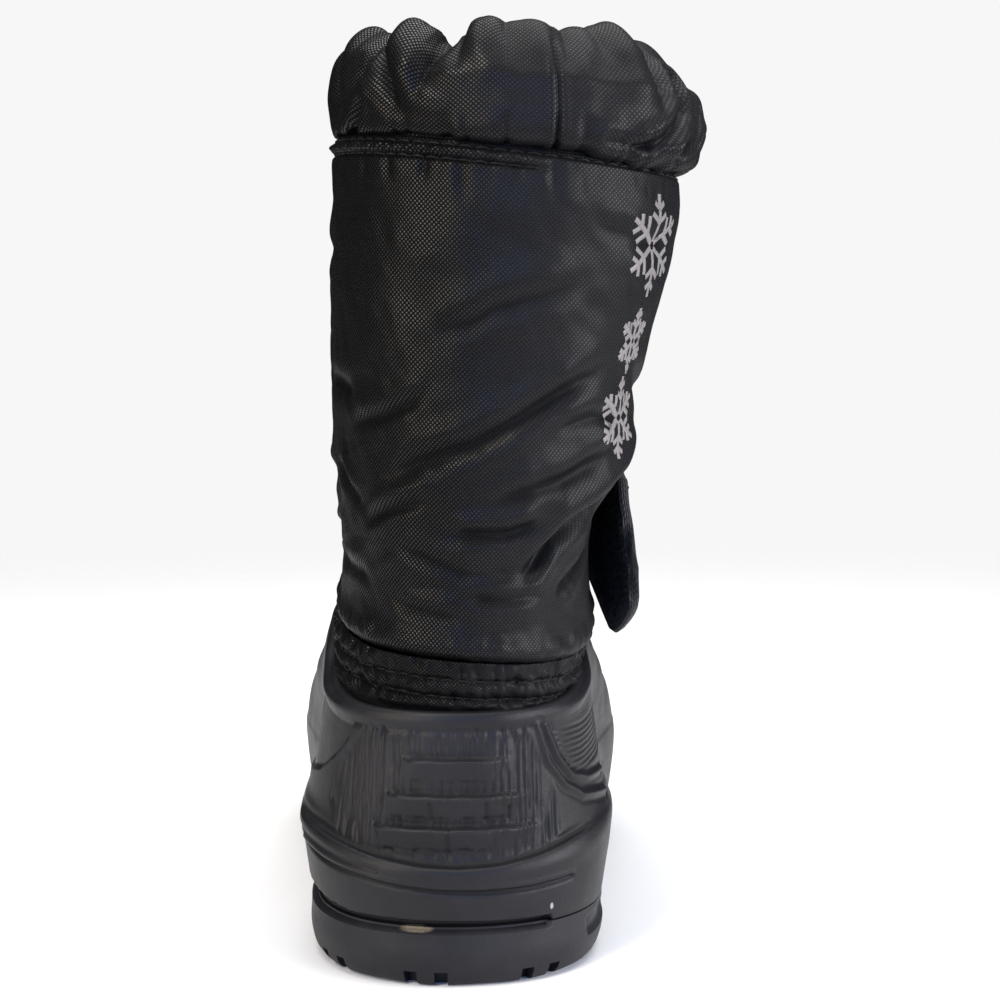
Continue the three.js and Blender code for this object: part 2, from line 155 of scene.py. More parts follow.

# %% [markdown]
# ## Helpers for paths and tubes
#
# A cord or a binding follows a smooth line through a few given points. Its tube is a lattice too: each
# ring of points is turned as little as possible from the one before, so a braid drawn along it does not
# twist.

# %% Smooth path and tube
def smooth_path(points, steps=8):
    """A centripetal Catmull-Rom curve through a chain of points."""
    p = np.array(points, float)
    p = np.concatenate([[2 * p[0] - p[1]], p, [2 * p[-1] - p[-2]]])
    knot = np.concatenate([[0], np.cumsum(np.sqrt(np.linalg.norm(np.diff(p, axis=0), axis=1)))])
    made = []
    for i in range(1, len(p) - 2):
        for t in np.linspace(knot[i], knot[i + 1], steps, endpoint=False):
            a = [
                p[k] + (p[k + 1] - p[k]) * (t - knot[k]) / (knot[k + 1] - knot[k])
                for k in (i - 1, i, i + 1)
            ]
            b = [
                a[k] + (a[k + 1] - a[k]) * (t - knot[i - 1 + k]) / (knot[i + 1 + k] - knot[i - 1 + k])
                for k in (0, 1)
            ]
            made.append(b[0] + (b[1] - b[0]) * (t - knot[i]) / (knot[i + 1] - knot[i]))
    return np.array(made + [p[-2]])


def unit(v):
    return v / np.maximum(np.linalg.norm(v, axis=-1, keepdims=True), 1e-12)


def path_length(path):
    return float(np.linalg.norm(np.diff(path, axis=0), axis=1).sum())


def weld(piece):
    """Joins the points that lie on each other, which closes poles, and turns the faces outward."""
    shape = bmesh.new()
    shape.from_mesh(piece.data)
    bmesh.ops.remove_doubles(shape, verts=shape.verts, dist=0.002 * MM)
    bmesh.ops.recalc_face_normals(shape, faces=shape.faces)
    shape.to_mesh(piece.data)
    shape.free()
    return piece


def tube(name, path, radius, sides=16, closed=False):
    """A round tube along path, closed in a ring or with domed ends."""
    way = np.roll(path, -1, 0) - np.roll(path, 1, 0) if closed else np.gradient(path, axis=0)
    way = unit(way)
    side = np.empty_like(way)
    side[0] = unit(np.cross(way[0], [0.31, 0.22, 0.92]))
    for k in range(1, len(way)):
        side[k] = unit(side[k - 1] - way[k] * side[k - 1].dot(way[k]))
    up = np.cross(way, side)
    turn = np.linspace(0, 2 * math.pi, sides, endpoint=False)[None, :, None]
    rings = path[:, None] + radius * (side[:, None] * np.cos(turn) + up[:, None] * np.sin(turn))
    if not closed:
        dome = [(0.5, 0.86), (0.87, 0.5), (1.0, 0.0)]
        start, end = rings[0] - path[0], rings[-1] - path[-1]
        first = [path[0] + start * wide - way[0] * radius * far for far, wide in reversed(dome)]
        last = [path[-1] + end * wide + way[-1] * radius * far for far, wide in dome]
        rings = np.concatenate([first, rings, last])
    around = np.linspace(0, 2 * math.pi * radius, sides + 1)
    length = np.concatenate([[0], np.cumsum(np.linalg.norm(np.diff(rings.mean(1), axis=0), axis=1))])
    length = np.append(length, length[-1] + radius)
    return weld(lattice(name, rings, np.stack(np.meshgrid(around, length), axis=2), tube=closed))

# %% [markdown]
# ## Shader maths
#
# A finish is a few sums: a weave is a product of waves, wear is a mask times a colour. One small class
# wraps a socket so that those sums are written as plain expressions, and a second one holds a material,
# adds any other node, and feeds the results to the shader.

# %% Values and finishes
class Value:
    """A number that changes over the surface. Sums, products and powers of it add Math nodes."""

    def __init__(self, finish, socket):
        self.finish, self.socket = finish, socket

    def math(self, operation, *others):
        return self.finish.add("ShaderNodeMath", {"operation": operation}, dict(enumerate(others)))

    def __add__(self, other):
        return self.math("ADD", self, other)

    def __sub__(self, other):
        return self.math("SUBTRACT", self, other)

    def __rsub__(self, other):
        return self.math("SUBTRACT", other, self)

    def __mul__(self, other):
        return self.math("MULTIPLY", self, other)

    def __rtruediv__(self, other):
        return self.math("DIVIDE", other, self)

    def __truediv__(self, other):
        return self.math("DIVIDE", self, other)

    def __pow__(self, other):
        return self.math("POWER", self, other)

    __radd__, __rmul__ = __add__, __mul__

    def sine(self):
        return self.math("SINE", self)

    def size(self):
        return self.math("ABSOLUTE", self)

    def between(self, low, high):
        """0 below low, 1 above high, and a smooth climb between them."""
        settings = {"interpolation_type": "SMOOTHSTEP"}
        sockets = {"Value": self, "From Min": low, "From Max": high}
        return self.finish.add("ShaderNodeMapRange", settings, sockets)


class Finish:
    """A material with one Principled shader. What is the same all over is set on its sockets at the start."""

    def __init__(self, name, **constants):
        self.material = bpy.data.materials.new(name)
        self.material.use_nodes = True
        self.tree = self.material.node_tree
        self.shader = self.tree.nodes["Principled BSDF"]
        for key, value in constants.items():
            self.shader.inputs[key.replace("_", " ")].default_value = value

    def link(self, socket, value):
        if isinstance(value, Value):
            self.tree.links.new(value.socket, socket)
        elif isinstance(value, (int, float)) and socket.type == "RGBA":
            socket.default_value = (value, value, value, 1)
        else:
            socket.default_value = value

    def add(self, kind, settings=None, sockets=None, output=0):
        node = self.tree.nodes.new(kind)
        for key, value in (settings or {}).items():
            setattr(node, key, value)
        for key, value in (sockets or {}).items():
            self.link(node.inputs[key], value)
        return Value(self, node.outputs[output])

    def feed(self, **values):
        for key, value in values.items():
            self.link(self.shader.inputs[key.replace("_", " ")], value)

    def place(self):
        """Where a point of the piece is, in metres."""
        return self.add("ShaderNodeTexCoord", output="Object")

    def noise(self, scale, detail=3.0, roughness=0.55, stretch=None):
        where = self.place()
        if stretch:
            where = self.add("ShaderNodeMapping", None, {"Vector": where, "Scale": stretch})
        sockets = {"Vector": where, "Scale": scale, "Detail": detail, "Roughness": roughness}
        return self.add("ShaderNodeTexNoise", None, sockets, "Fac")

    def cloth_axes(self):
        """The cloth's own two directions, in metres."""
        uv = self.add("ShaderNodeUVMap", {"uv_map": "cloth"})
        split = {"Vector": uv}
        return tuple(self.add("ShaderNodeSeparateXYZ", None, split, axis) for axis in "XY")

    def mix(self, share, first, second):
        sockets = {0: share, 6: first, 7: second}
        return self.add("ShaderNodeMix", {"data_type": "RGBA"}, sockets, 2)

    def bump(self, height, depth):
        return self.add("ShaderNodeBump", None, {"Height": height, "Distance": depth, "Strength": 1.0})


def grey(r, g=None, b=None):
    """A colour from its 0 to 255 display numbers."""
    linear = lambda c: c / 255 / 12.92 if c <= 10 else ((c / 255 + 0.055) / 1.055) ** 2.4
    g, b = (r if g is None else g), (r if b is None else b)
    return (linear(r), linear(g), linear(b), 1)

# %% [markdown]
# ## Pull cord
#
# An elastic cord runs inside the top of the cuff and comes out at its front as one short loop, which the
# wearer pulls to draw the cuff in. It is a limp thing that hangs from its two holes: up and out over the
# cuff, down its front and round a narrow bend. Its sheath is braided, so the finish crosses two families of
# slanting threads, a whole number of them round the cord so that they meet at the seam.

# %% Route of the cord
CORD_DIAMETER = 2.1 * MM
CORD_ROUTE = [  # mm
    (5.8, 63.7, 203.1), (5.6, 65.2, 203.5), (5.4, 66.4, 202.3), (5.3, 66.7, 199.8), (5.3, 66.7, 196),
    (5.5, 66.6, 191.5), (5.8, 66.2, 186.5), (5.9, 65.8, 181.5), (6.6, 65.4, 176.5), (8.4, 65.1, 172.4),
    (11.4, 65, 170.2), (14.8, 65, 170.4), (17.4, 65.2, 173), (18.6, 65.6, 177.4), (18.9, 66.1, 182.4),
    (19, 66.6, 187.4), (19.2, 67, 192.2), (19.3, 67.1, 196.6), (19.3, 67, 199.9), (19.2, 66.5, 202.2),
    (19, 65.3, 203.5), (18.8, 63.7, 203.1),
]
cord_path = smooth_path(np.array(CORD_ROUTE) * MM)

# %% Braided elastic
BRAIDS_ROUND = 8
braid = Finish("braided elastic", Specular_IOR_Level=0.35, Sheen_Weight=0.25)
u, v = braid.cloth_axes()
slope = BRAIDS_ROUND * math.pi / (math.pi * CORD_DIAMETER)
leftward = (u * slope + v * slope * 0.8).sine()
rightward = (u * slope - v * slope * 0.8).sine()
plait = (leftward * rightward).between(-0.5, 0.7)
lint = braid.noise(700, 3, 0.7)
braid.feed(
    Base_Color=braid.mix(plait * 0.6 + lint * 0.4, grey(10, 10, 11), grey(44, 44, 46)),
    Roughness=lint * 0.2 + 0.55,
    Normal=braid.bump(plait + lint * 0.3, 0.15 * MM),
)

cord = tube("pull_cord_loop", cord_path, CORD_DIAMETER / 2, sides=20)
cord.data.materials.append(braid.material)
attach(cord, "root")
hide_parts("pull_cord")
print("cord:", len(cord.data.polygons), "faces")

# %% [markdown]
# ## Reading a wall off the solid
#
# The leg and the foot of the boot both go once round an upright axis, so a wall is a table of distances
# from that axis, by angle and height. Rays against the solid's faces give the distances. The solid is
# faceted, so the table is smoothed by a few millimetres before anything is built on it.

# %% Wall of a solid piece
def ray_tree(node):
    shape = bmesh.new()
    shape.from_mesh(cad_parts[node].data)
    tree = BVHTree.FromBMesh(shape)
    shape.free()
    return tree


def spread(table, reach, ring):
    """table with a bell-shaped blur of reach cells along its last axis."""
    if reach < 0.3:
        return table
    far = int(math.ceil(3 * reach))
    weights = bell(np.arange(-far, far + 1), reach * math.sqrt(2))
    weights /= weights.sum()
    mode = "wrap" if ring else "edge"
    padded = np.pad(table, [(0, 0)] * (table.ndim - 1) + [(far, far)], mode=mode)
    return np.apply_along_axis(lambda line: np.convolve(line, weights, mode="valid"), -1, padded)


def hollows(relief, reach, low, high):
    """1 where a relief lies well under the mean of the cells round it, as in a crease or a stitched row."""
    mean = spread(spread(relief, reach, True).T, reach, False).T
    return smoothstep(low, high, mean - relief)


class Wall:
    """One face of a solid piece round an upright axis, at any angle (0 at the back, then by the outer side)
    and any share of its height (0 at the lower edge, 1 at the upper)."""

    FAR = 300 * MM
    STEP = 0.8 * MM

    def __init__(self, node, axis, middle, inside=False, columns=720, rows=64, blur=(4 * MM, 1.5 * MM),
                 fill=0, leap=6 * MM):
        self.leap = leap
        self.tree, self.axis, self.inside = ray_tree(node), np.array(axis, float), inside
        self.angles = np.linspace(0, 2 * math.pi, columns, endpoint=False)
        middles = np.broadcast_to(middle(self.angles) if callable(middle) else middle, self.angles.shape)
        self.low = np.array([self.edge(a, z, -1) for a, z in zip(self.angles, middles)])
        self.high = np.array([self.edge(a, z, 1) for a, z in zip(self.angles, middles)])
        for _ in range(fill):
            self.low = np.minimum(self.low, np.minimum(np.roll(self.low, 1), np.roll(self.low, -1)))
        shares = np.linspace(0.002, 0.998, rows)
        heights = self.low + (self.high - self.low) * shares[:, None]
        radii = np.array([
            [self.reach(a, z) or np.nan for a, z in zip(self.angles, line)] for line in heights])
        for i in [*range(rows // 2 + 1, rows), *range(rows // 2 - 1, -1, -1)]:
            before = radii[i - 1] if i > rows // 2 else radii[i + 1]
            lost = np.isnan(radii[i]) | (abs(radii[i] - before) > 2 * self.leap)
            radii[i, lost] = before[lost]
        radii = self.filled(radii, fill)
        cell = 2 * math.pi * np.nanmean(radii) / columns
        radii = spread(radii, blur[0] / cell, True)
        self.low, self.high = spread(self.low, blur[0] / cell, True), spread(self.high, blur[0] / cell, True)
        rise = (self.high - self.low).mean() / rows
        self.radii = spread(radii.T, blur[1] / rise, False).T

    def reach(self, angle, z):
        out = Vector((math.sin(angle), -math.cos(angle), 0))
        centre = Vector((self.axis[0], self.axis[1], z))
        start, way = (centre, out) if self.inside else (centre + out * self.FAR, -out)
        hit = self.tree.ray_cast(start, way)[0]
        if hit is None:
            return None
        far = (hit - centre).dot(out)
        return far if far > 0 else None

    def edge(self, angle, middle, way):
        """Where the face ends, going up or down: past it a ray finds nothing, or a far wall."""
        inside, last = middle, self.reach(angle, middle)
        while last is not None:
            outside = inside + way * self.STEP
            found = self.reach(angle, outside)
            if found is None or abs(found - last) > self.leap:
                break
            inside, last = outside, found
        else:
            return middle
        for _ in range(6):
            z = (inside + outside) / 2
            found = self.reach(angle, z)
            if found is None or abs(found - last) > self.leap:
                outside = z
            else:
                inside = z
        return inside

    @staticmethod
    def filled(radii, fill):
        """Gaps take a neighbour's value, and grooves narrower than 2 * fill columns are bridged."""
        for line in radii:
            known = np.flatnonzero(~np.isnan(line))
            line[:] = np.interp(np.arange(len(line)), known, line[known], period=len(line))
        for _ in range(fill):
            radii = np.maximum(radii, np.maximum(np.roll(radii, 1, 1), np.roll(radii, -1, 1)))
        for _ in range(fill):
            radii = np.minimum(radii, np.minimum(np.roll(radii, 1, 1), np.roll(radii, -1, 1)))
        return radii

    def edge_height(self, angle, which):
        table = self.low if which == "low" else self.high
        return np.interp(angle, self.angles, table, period=2 * math.pi)

    def point(self, angle, share):
        rows, columns = self.radii.shape
        x = np.asarray(angle) / (2 * math.pi) * columns
        y = np.clip(share, 0, 1) * (rows - 1)
        j, i = np.floor(x).astype(int), np.minimum(np.floor(y).astype(int), rows - 2)
        b, a = x - j, y - i
        at = lambda di, dj: self.radii[i + di, (j + dj) % columns]
        radius = (at(0, 0) * (1 - b) + at(0, 1) * b) * (1 - a) + (at(1, 0) * (1 - b) + at(1, 1) * b) * a
        low, high = self.edge_height(angle, "low"), self.edge_height(angle, "high")
        z = low + (high - low) * share
        x, y = self.axis[0] + np.sin(angle) * radius, self.axis[1] - np.cos(angle) * radius
        return np.stack(np.broadcast_arrays(x, y, z), axis=-1)


FOOT_AXIS = (0, 60 * MM)
LEG_AXIS = (5 * MM, 15 * MM)
shell_wall = Wall("shell", FOOT_AXIS, 40 * MM, rows=90, blur=(3 * MM, 0.8 * MM))
print("shell's rim, lowest and highest:", [round(f(shell_wall.high) / MM, 1) for f in (min, max)])
shaft_wall = Wall("shaft", LEG_AXIS, 130 * MM, columns=540, rows=80, blur=(4 * MM, 2 * MM))
shaft_inside = Wall("shaft", LEG_AXIS, 130 * MM, inside=True, columns=360, rows=50, blur=(4 * MM, 2 * MM))
below_hem = lambda angle: shaft_wall.edge_height(angle, "low") - 5 * MM
band_wall = Wall("band", LEG_AXIS, below_hem, columns=540, rows=24, blur=(4 * MM, 1 * MM))
print("shaft's hem, lowest and highest:", [round(f(shaft_wall.low) / MM, 1) for f in (min, max)])
print("shaft's top, lowest and highest:", [round(f(shaft_wall.high) / MM, 1) for f in (min, max)])
band_heights = (band_wall.high - band_wall.low) / MM
print("band's height, least and most:", [round(f(band_heights), 1) for f in (min, max)])
print("band's top, lowest and highest:", [round(f(band_wall.high) / MM, 1) for f in (min, max)])

# %% [markdown]
# ## Moulded rubber
#
# The shell and the outsole are one kind of rubber: dark grey, satin, with a cloudy skin from the mould, a
# fine pebble that only shows in a highlight, and lighter scuffs that are drawn out level. Grooves get
# painted shade, a mix towards near black for the shadow that falls in them, and a piece can say how much in
# an attribute of its points. Two marks are placed by their middles: a streak of dried sand on the seam at
# the back, and beside it a painted highlight, a pale speck of glinting light.

# %% Rubber
SAND_AT, SAND_SIZE = (-9.5, -35, 13.2), (5.6, 9, 0.85)  # mm
# The second mark is a painted highlight: a pale speck where light glints on the rubber by the groove's end.
GLINT_AT, GLINT_SIZE = (21.4, -29.5, 17.4), (0.45, 9, 1.1)  # mm


def mark(finish, at, size, ragged):
    """1 inside a small egg-shaped mark, with an edge broken by noise."""
    scale = [1 / (s * MM) for s in size]
    move = [-a / s for a, s in zip(at, size)]
    sockets = {"Vector": finish.place(), "Scale": scale, "Location": move}
    here = finish.add("ShaderNodeMapping", None, sockets)
    away = finish.add("ShaderNodeVectorMath", {"operation": "LENGTH"}, {0: here}, "Value")
    return (away + ragged * 0.9).between(1.35, 1.0)


def moulded_rubber(name, colour, dusty, roughness):
    rubber = Finish(name, Specular_IOR_Level=0.24)
    # Painted shade: how dark each point of a groove is painted, read from the piece's points.
    painted_shade = rubber.add("ShaderNodeAttribute", {"attribute_name": "painted_shade"}, output="Fac")
    cloud = rubber.noise(38, 4, 0.6)
    blotch = rubber.noise(120, 3, 0.6)
    pebble = rubber.noise(1500, 2, 0.5)
    scuff = rubber.noise(60, 6, 0.7, stretch=(1, 1, 3.2)).between(0.56, 0.72)
    worn = rubber.mix(cloud.between(0.35, 0.7) * 0.55 + scuff * 0.3, colour, dusty)
    skin = rubber.bump(pebble * 0.5 + blotch, 0.12 * MM)
    sand = mark(rubber, SAND_AT, SAND_SIZE, rubber.noise(700, 3, 0.7))
    # Painted highlight: a pale speck of glinting light is mixed into the colour.
    painted_glint = mark(rubber, GLINT_AT, GLINT_SIZE, rubber.noise(400, 2, 0.5))
    marked = rubber.mix(painted_glint, rubber.mix(sand * 0.8, worn, grey(112, 102, 86)), grey(150, 148, 144))
    # Painted shade: the grooves and the slot are mixed towards near black for the shadow that falls in them.
    coloured = rubber.mix(painted_shade * (1 - sand), marked, grey(9, 8, 10))
    rubber.feed(
        Base_Color=coloured,
        Roughness=blotch * 0.22 + scuff * 0.1 + painted_shade * 0.3 + roughness,
        Normal=skin,
    )
    return rubber.material


shell_rubber = moulded_rubber("shell rubber", grey(18, 18, 21), grey(33, 32, 36), 0.36)
sole_rubber = moulded_rubber("outsole rubber", grey(20, 20, 24), grey(37, 36, 40), 0.42)

# %% [markdown]
# ## Shell
#
# The shell is moulded in one piece. At the back it has a field of upright grooves like the grain of old
# wood, three stepped ribs, a ledge and a thin groove that run level round the heel, and a sunk panel on each
# side, the outer one with a raised border. All of these are heights above the plain wall, worked out from two
# numbers: how far a point is round the heel from its middle, and how high it is. Columns are closest together
# at the heel.

# %% Shell lattice
FINE, COARSE = 0.32 * MM, 1.35 * MM
HEEL_REACH = 62 * MM
SHELL_ROWS = 124
SHELL_WALL = 2.6 * MM

around = np.linspace(0, 2 * math.pi, 1441)
outline = shell_wall.point(around, 0.5)
run = np.concatenate([[0], np.cumsum(np.linalg.norm(np.diff(outline, axis=0), axis=1))])
places = np.concatenate([
    np.arange(0, HEEL_REACH, FINE),
    np.arange(HEEL_REACH, run[-1] - HEEL_REACH, COARSE),
    np.arange(run[-1] - HEEL_REACH, run[-1] - FINE / 2, FINE),
])
shell_angles = np.interp(places, run, around)
round_heel = np.where(places > run[-1] / 2, places - run[-1], places) / MM
shell_skin = shell_wall.point(shell_angles, np.linspace(0, 1, SHELL_ROWS)[:, None])
print("shell is", round(run[-1] / MM), "mm round,", shell_skin.shape[:2], "points")

# %% [markdown]
# The relief's places are in millimetres: the first number of a pair is the distance round the heel from its
# middle, with the outer side positive, and the second is the height over the floor.

# %% Relief of the heel
RIBS = [(-12.5, 9, 51.6), (-16.5, 13, 43.6), (-20.5, 16.5, 36.4)]  # left and right end, height of the lip
RIB_HEIGHT, RIB_DROP = 2.3, 6.2
TICKS = [(-6, 37.8, 42), (6.5, 37.8, 42), (-2.2, 29.6, 36.4), (12, 38, 41)]  # place, foot and top
LEDGE = [(-240, 34), (-60, 34), (-40, 32.6), (-29, 31), (-18, 29.2), (-8, 28.1), (0, 27.8), (9, 28.2),
         (18, 29.4), (29, 31.6), (41, 33.4), (60, 35), (240, 34)]
LEDGE_HEIGHT = 1.5
LOWER_LINE = [(-62, 31), (-48, 30.6), (-38, 29.4), (-28, 27.8), (-18, 26.6)]
THIN_GROOVE = [(-46, 27.4), (-36, 26.2), (-25, 25), (-14, 23.4), (-5, 22.5), (5, 22.3), (16, 22.6),
               (28, 23.4)]
INNER_PANEL = [(26, 60), (29.5, 53), (35, 48.2), (44, 43.6), (58, 41), (90, 40)]  # distance, lower edge
OUTER_PANEL = [(20, 58), (23, 49.6), (28.5, 43.6), (36, 39.8), (52, 37.5), (90, 37)]
OUTER_BORDERS = [OUTER_PANEL[:5], [(23, 57), (26.8, 50), (32, 45.2), (40, 43), (54, 42)]]
BORDER_HEIGHT, BORDER_WIDTH = 0.6, 0.7
FAN_LINES = [[(25 + 0.9 * k, 56 - 1.35 * k), (38, 55.6 - 1.3 * k), (58, 56.5 - 1.2 * k)] for k in range(9)]
GRAIN_LEFT = [(28, -26), (33, -33), (40, -37), (48, -34), (53, -29.5), (58, -24)]
GRAIN_RIGHT = [(28, 22), (34, 27), (40, 26.5), (46, 24.5), (50, 22), (58, 18)]
GRAIN_TOP = 57
SEAM_SLOT = [(-240, 20), (-110, 19), (-50, 18.6), (-25, 15.4), (22, 15.2), (23, 13), (240, 13)]  # upper edge
FIELD_DEPTH, GRAIN_DEPTH, TICK_DEPTH = 0.3, 0.5, 0.5
THIN_DEPTH, FAN_DEPTH, SLOT_DEPTH = 0.95, 0.3, 2.1
INNER_SUNK, OUTER_SUNK, PANEL_END = 0.9, 0.45, 92


def nearest(path, x, y):
    """How far each (x, y) is from a chain of points."""
    best = np.full(np.broadcast(x, y).shape, np.inf)
    for (ax, ay), (bx, by) in zip(path, path[1:]):
        dx, dy = bx - ax, by - ay
        t = np.clip(((x - ax) * dx + (y - ay) * dy) / (dx * dx + dy * dy), 0, 1)
        best = np.minimum(best, np.hypot(x - ax - t * dx, y - ay - t * dy))
    return best


def along(path, x):
    """The height of a chain of points at x."""
    return np.interp(x, *zip(*path))


def cracks(x, z, apart, long, seed, width):
    """1 on long upright lines, where a stretched noise passes through nought."""
    return bell(value_noise(x / apart, z / long, seed), width)


def grain(x, z):
    """Upright cuts of uneven length, coarse at the sides of the heel and fine in its middle."""
    wander = x + 0.25 * value_noise(x / 9, z / 12, 3)
    side = smoothstep(7, 17, abs(x))
    coarse = cracks(wander, z, 1.1, 24, 5, 0.2) * (0.3 + 0.7 * side)
    fine = cracks(wander, z, 0.75, 9, 9, 0.24) * (0.55 - 0.15 * side)
    return -coarse - fine


def panel(x, z, lower, top, end):
    """1 inside a sunk panel on one side of the heel; x grows away from the middle."""
    inside = smoothstep(0.2, 1.8, z - along(lower, x)) * smoothstep(0, 1.4, top - z)
    return inside * smoothstep(lower[0][0], lower[0][0] + 1.2, x) * smoothstep(end, end - 8, x)


def seam_slot(x, z):
    """1 inside the slot between the shell and the outsole."""
    return smoothstep(0.35, -0.35, z - along(SEAM_SLOT, x)) * smoothstep(-170, -120, x)


def heel_relief(x, z, below_rim):
    ragged = 1.6 * value_noise(x / 0.9, 0 * z, 21)
    field = smoothstep(0, 2.5, x - along(GRAIN_LEFT, z)) * smoothstep(0, 2.5, along(GRAIN_RIGHT, z) - x)
    field = field * smoothstep(0, 2.2, z - along(LEDGE, x) - 0.5)
    field = field * smoothstep(-1.2, 1.5, GRAIN_TOP + ragged - z)
    relief = -FIELD_DEPTH * field
    smooth_patch = 0
    for left, right, top in RIBS:
        lip = top + 0.12 * value_noise(x / 2.2, 0 * z, 23)
        inside = smoothstep(left - 1.5, left + 4, x) * smoothstep(right + 6, right - 6, x)
        below = (lip - z) / RIB_DROP
        step = smoothstep(-0.1, 0.1, below) * np.clip(1 - below, 0, 1) ** 1.5
        relief = relief + inside * (RIB_HEIGHT * step - 0.12 * bell(z - lip - 0.9, 0.7))
        patchy = smoothstep(-0.5, 0.4, value_noise(x / 5, z / 3, 31) + 0.4 - 0.05 * x)
        smooth_patch = np.maximum(smooth_patch, inside * patchy * (below > -0.05) * (below < 0.75))
    relief = relief + GRAIN_DEPTH * grain(x, z) * field * (1 - 0.9 * smooth_patch)
    for place, foot, top in TICKS:
        within = smoothstep(foot - 0.3, foot + 0.3, z) * smoothstep(top + 0.3, top, z)
        relief = relief - TICK_DEPTH * bell(x - place, 0.42) * within
    above = z - along(LEDGE, x)
    lip = smoothstep(0.5, -0.5, above) * smoothstep(-7.5, -0.8, above)
    back = smoothstep(-60, -42, x) * smoothstep(44, 26, x)
    relief = relief + LEDGE_HEIGHT * lip * (0.12 + 0.88 * back) - 0.5 * back * bell(above - 1.1, 0.8)
    relief = relief - 0.6 * bell(nearest(LOWER_LINE, x, z), 0.55)
    relief = relief - THIN_DEPTH * bell(nearest(THIN_GROOVE, x, z), 0.65)
    relief = relief + 0.45 * bell(nearest(THIN_GROOVE, x, z - 1.3), 0.8)
    panel_top = along(RIM_LINE, x) - 3.5
    relief = relief - INNER_SUNK * panel(-x, z, INNER_PANEL, panel_top, PANEL_END)
    relief = relief - OUTER_SUNK * panel(x, z, OUTER_PANEL, panel_top, PANEL_END)
    for border in OUTER_BORDERS:
        away = nearest(border, x, z)
        relief = relief + BORDER_HEIGHT * bell(away, BORDER_WIDTH) - 0.25 * bell(away - 1.5, 0.6)
    for line in FAN_LINES:
        relief = relief - FAN_DEPTH * bell(nearest(line, x, z), 0.36)
    slot = seam_slot(x, z)
    rim = 0.35 * bell(below_rim - 1.2, 1.3) - 0.35 * bell(below_rim - 3.6, 0.7)
    return relief - SLOT_DEPTH * slot + rim


heights = shell_skin[..., 2] / MM
rim_order = np.argsort(round_heel)
RIM_LINE = list(zip(round_heel[rim_order], heights[-1, rim_order]))
relief = heel_relief(round_heel[None, :], heights, heights[-1] - heights)
relief = relief + 0.25 * value_noise(round_heel[None, :] / 14, heights / 9, 41)
shell_out = outward(shell_skin)
shell_outer = shell_skin + shell_out * (relief * MM)[..., None]
print("relief in mm, deepest and proudest:", round(relief.min(), 2), round(relief.max(), 2))

# %% [markdown]
# The shell is a wall and not a block, so its rim is rolled over and the inner face goes back down to the
# bottom edge, where it meets the outer face again.

# %% Shell mesh
# Height in mm over the rim's edge, and share of the wall's thickness.
RIM_ROLL = [(0.35, 0.08), (0.62, 0.3), (0.72, 0.55), (0.6, 0.8), (0.3, 0.97)]
level_out = shell_out[-1] * [1, 1, 0]
level_out /= np.linalg.norm(level_out, axis=1, keepdims=True)
roll = [shell_outer[-1] - level_out * SHELL_WALL * share + [0, 0, rise * MM] for rise, share in RIM_ROLL]
inner_rows = np.linspace(SHELL_ROWS - 1, 0, 14).round().astype(int)
shell_inner = shell_skin[inner_rows] - shell_out[inner_rows] * SHELL_WALL
shell_inner[0] = shell_skin[-1] - level_out * SHELL_WALL
shell = lattice("moulded_shell", np.concatenate([shell_outer, roll, shell_inner]), tube=True)
slot = seam_slot(round_heel[None, :], heights)
# Painted shade: the slot and the deeper grooves are marked to be painted darker, for the shadow in them.
point_values(shell, "painted_shade", np.maximum(slot * 0.9, hollows(relief, 3, 0.12, 0.8) * 0.7))
shell.data.materials.append(shell_rubber)
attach(shell, "root")
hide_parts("shell")
print("shell:", len(shell.data.polygons), "quads")

# %% [markdown]
# ## Outsole
#
# The outsole is a block of rubber under the shell. Its side is read off the solid as one smooth wall, with
# the notches bridged; the bottom follows the tread's height, which changes only along the foot, so the same
# height holds all the way across. The notches, the channel and the cross grooves are then cut out of that
# block.

# %% Block of the outsole
LUG = 3.6 * MM
under_shell = lambda angle: shell_wall.edge_height(angle, "low") - 1.5 * MM
sole_wall = Wall("outsole", FOOT_AXIS, under_shell, rows=36, blur=(3 * MM, 0.7 * MM), fill=9, leap=1.7 * MM)
SOLE_COLUMNS, SOLE_ROWS = 560, 30
sole_angles = np.interp(np.linspace(0, run[-1], SOLE_COLUMNS, endpoint=False), run, around)
sole_skin = sole_wall.point(sole_angles, np.linspace(0, 1, SOLE_ROWS)[:, None])
sole_run = np.concatenate([[0], np.cumsum(np.linalg.norm(np.diff(sole_skin[8], axis=0), axis=1))])
round_sole = np.where(sole_run > sole_run[-1] / 2, sole_run - sole_run[-1], sole_run) / MM
tread_order = np.argsort(sole_skin[0, :, 1])
tread_y = np.linspace(sole_skin[0, :, 1].min(), sole_skin[0, :, 1].max(), 200)
rim_z = np.interp(tread_y, sole_skin[0, tread_order, 1], sole_skin[0, tread_order, 2])
tread_z = spread(rim_z[None, :], 3, False)[0]  # smoothed, since the rim's two sides differ a little


def tread_height(y):
    return np.interp(y, tread_y, tread_z)


def slot_shape(x, z, left, right, low, high, soft=0.7):
    """1 inside a long level slot with soft edges."""
    across = smoothstep(low - soft, low + soft, z) * smoothstep(high + soft, high - soft, z)
    across = across * smoothstep(left - 2 * soft, left + soft, x)
    return across * smoothstep(right + 2 * soft, right - soft, x)


SEAM_DEPTH, SEAM_LEFT, SEAM_RIGHT = 1.5, -200, 22  # the slot under the shell: depth, and ends round the heel
RECESSES = [(36, 62), (67, 93), (98, 124), (-124, -98), (-93, -67)]  # mm round the heel
RECESS_DEPTH, RECESS_LOW, RECESS_HIGH = 1.4, 7.6, 11.4


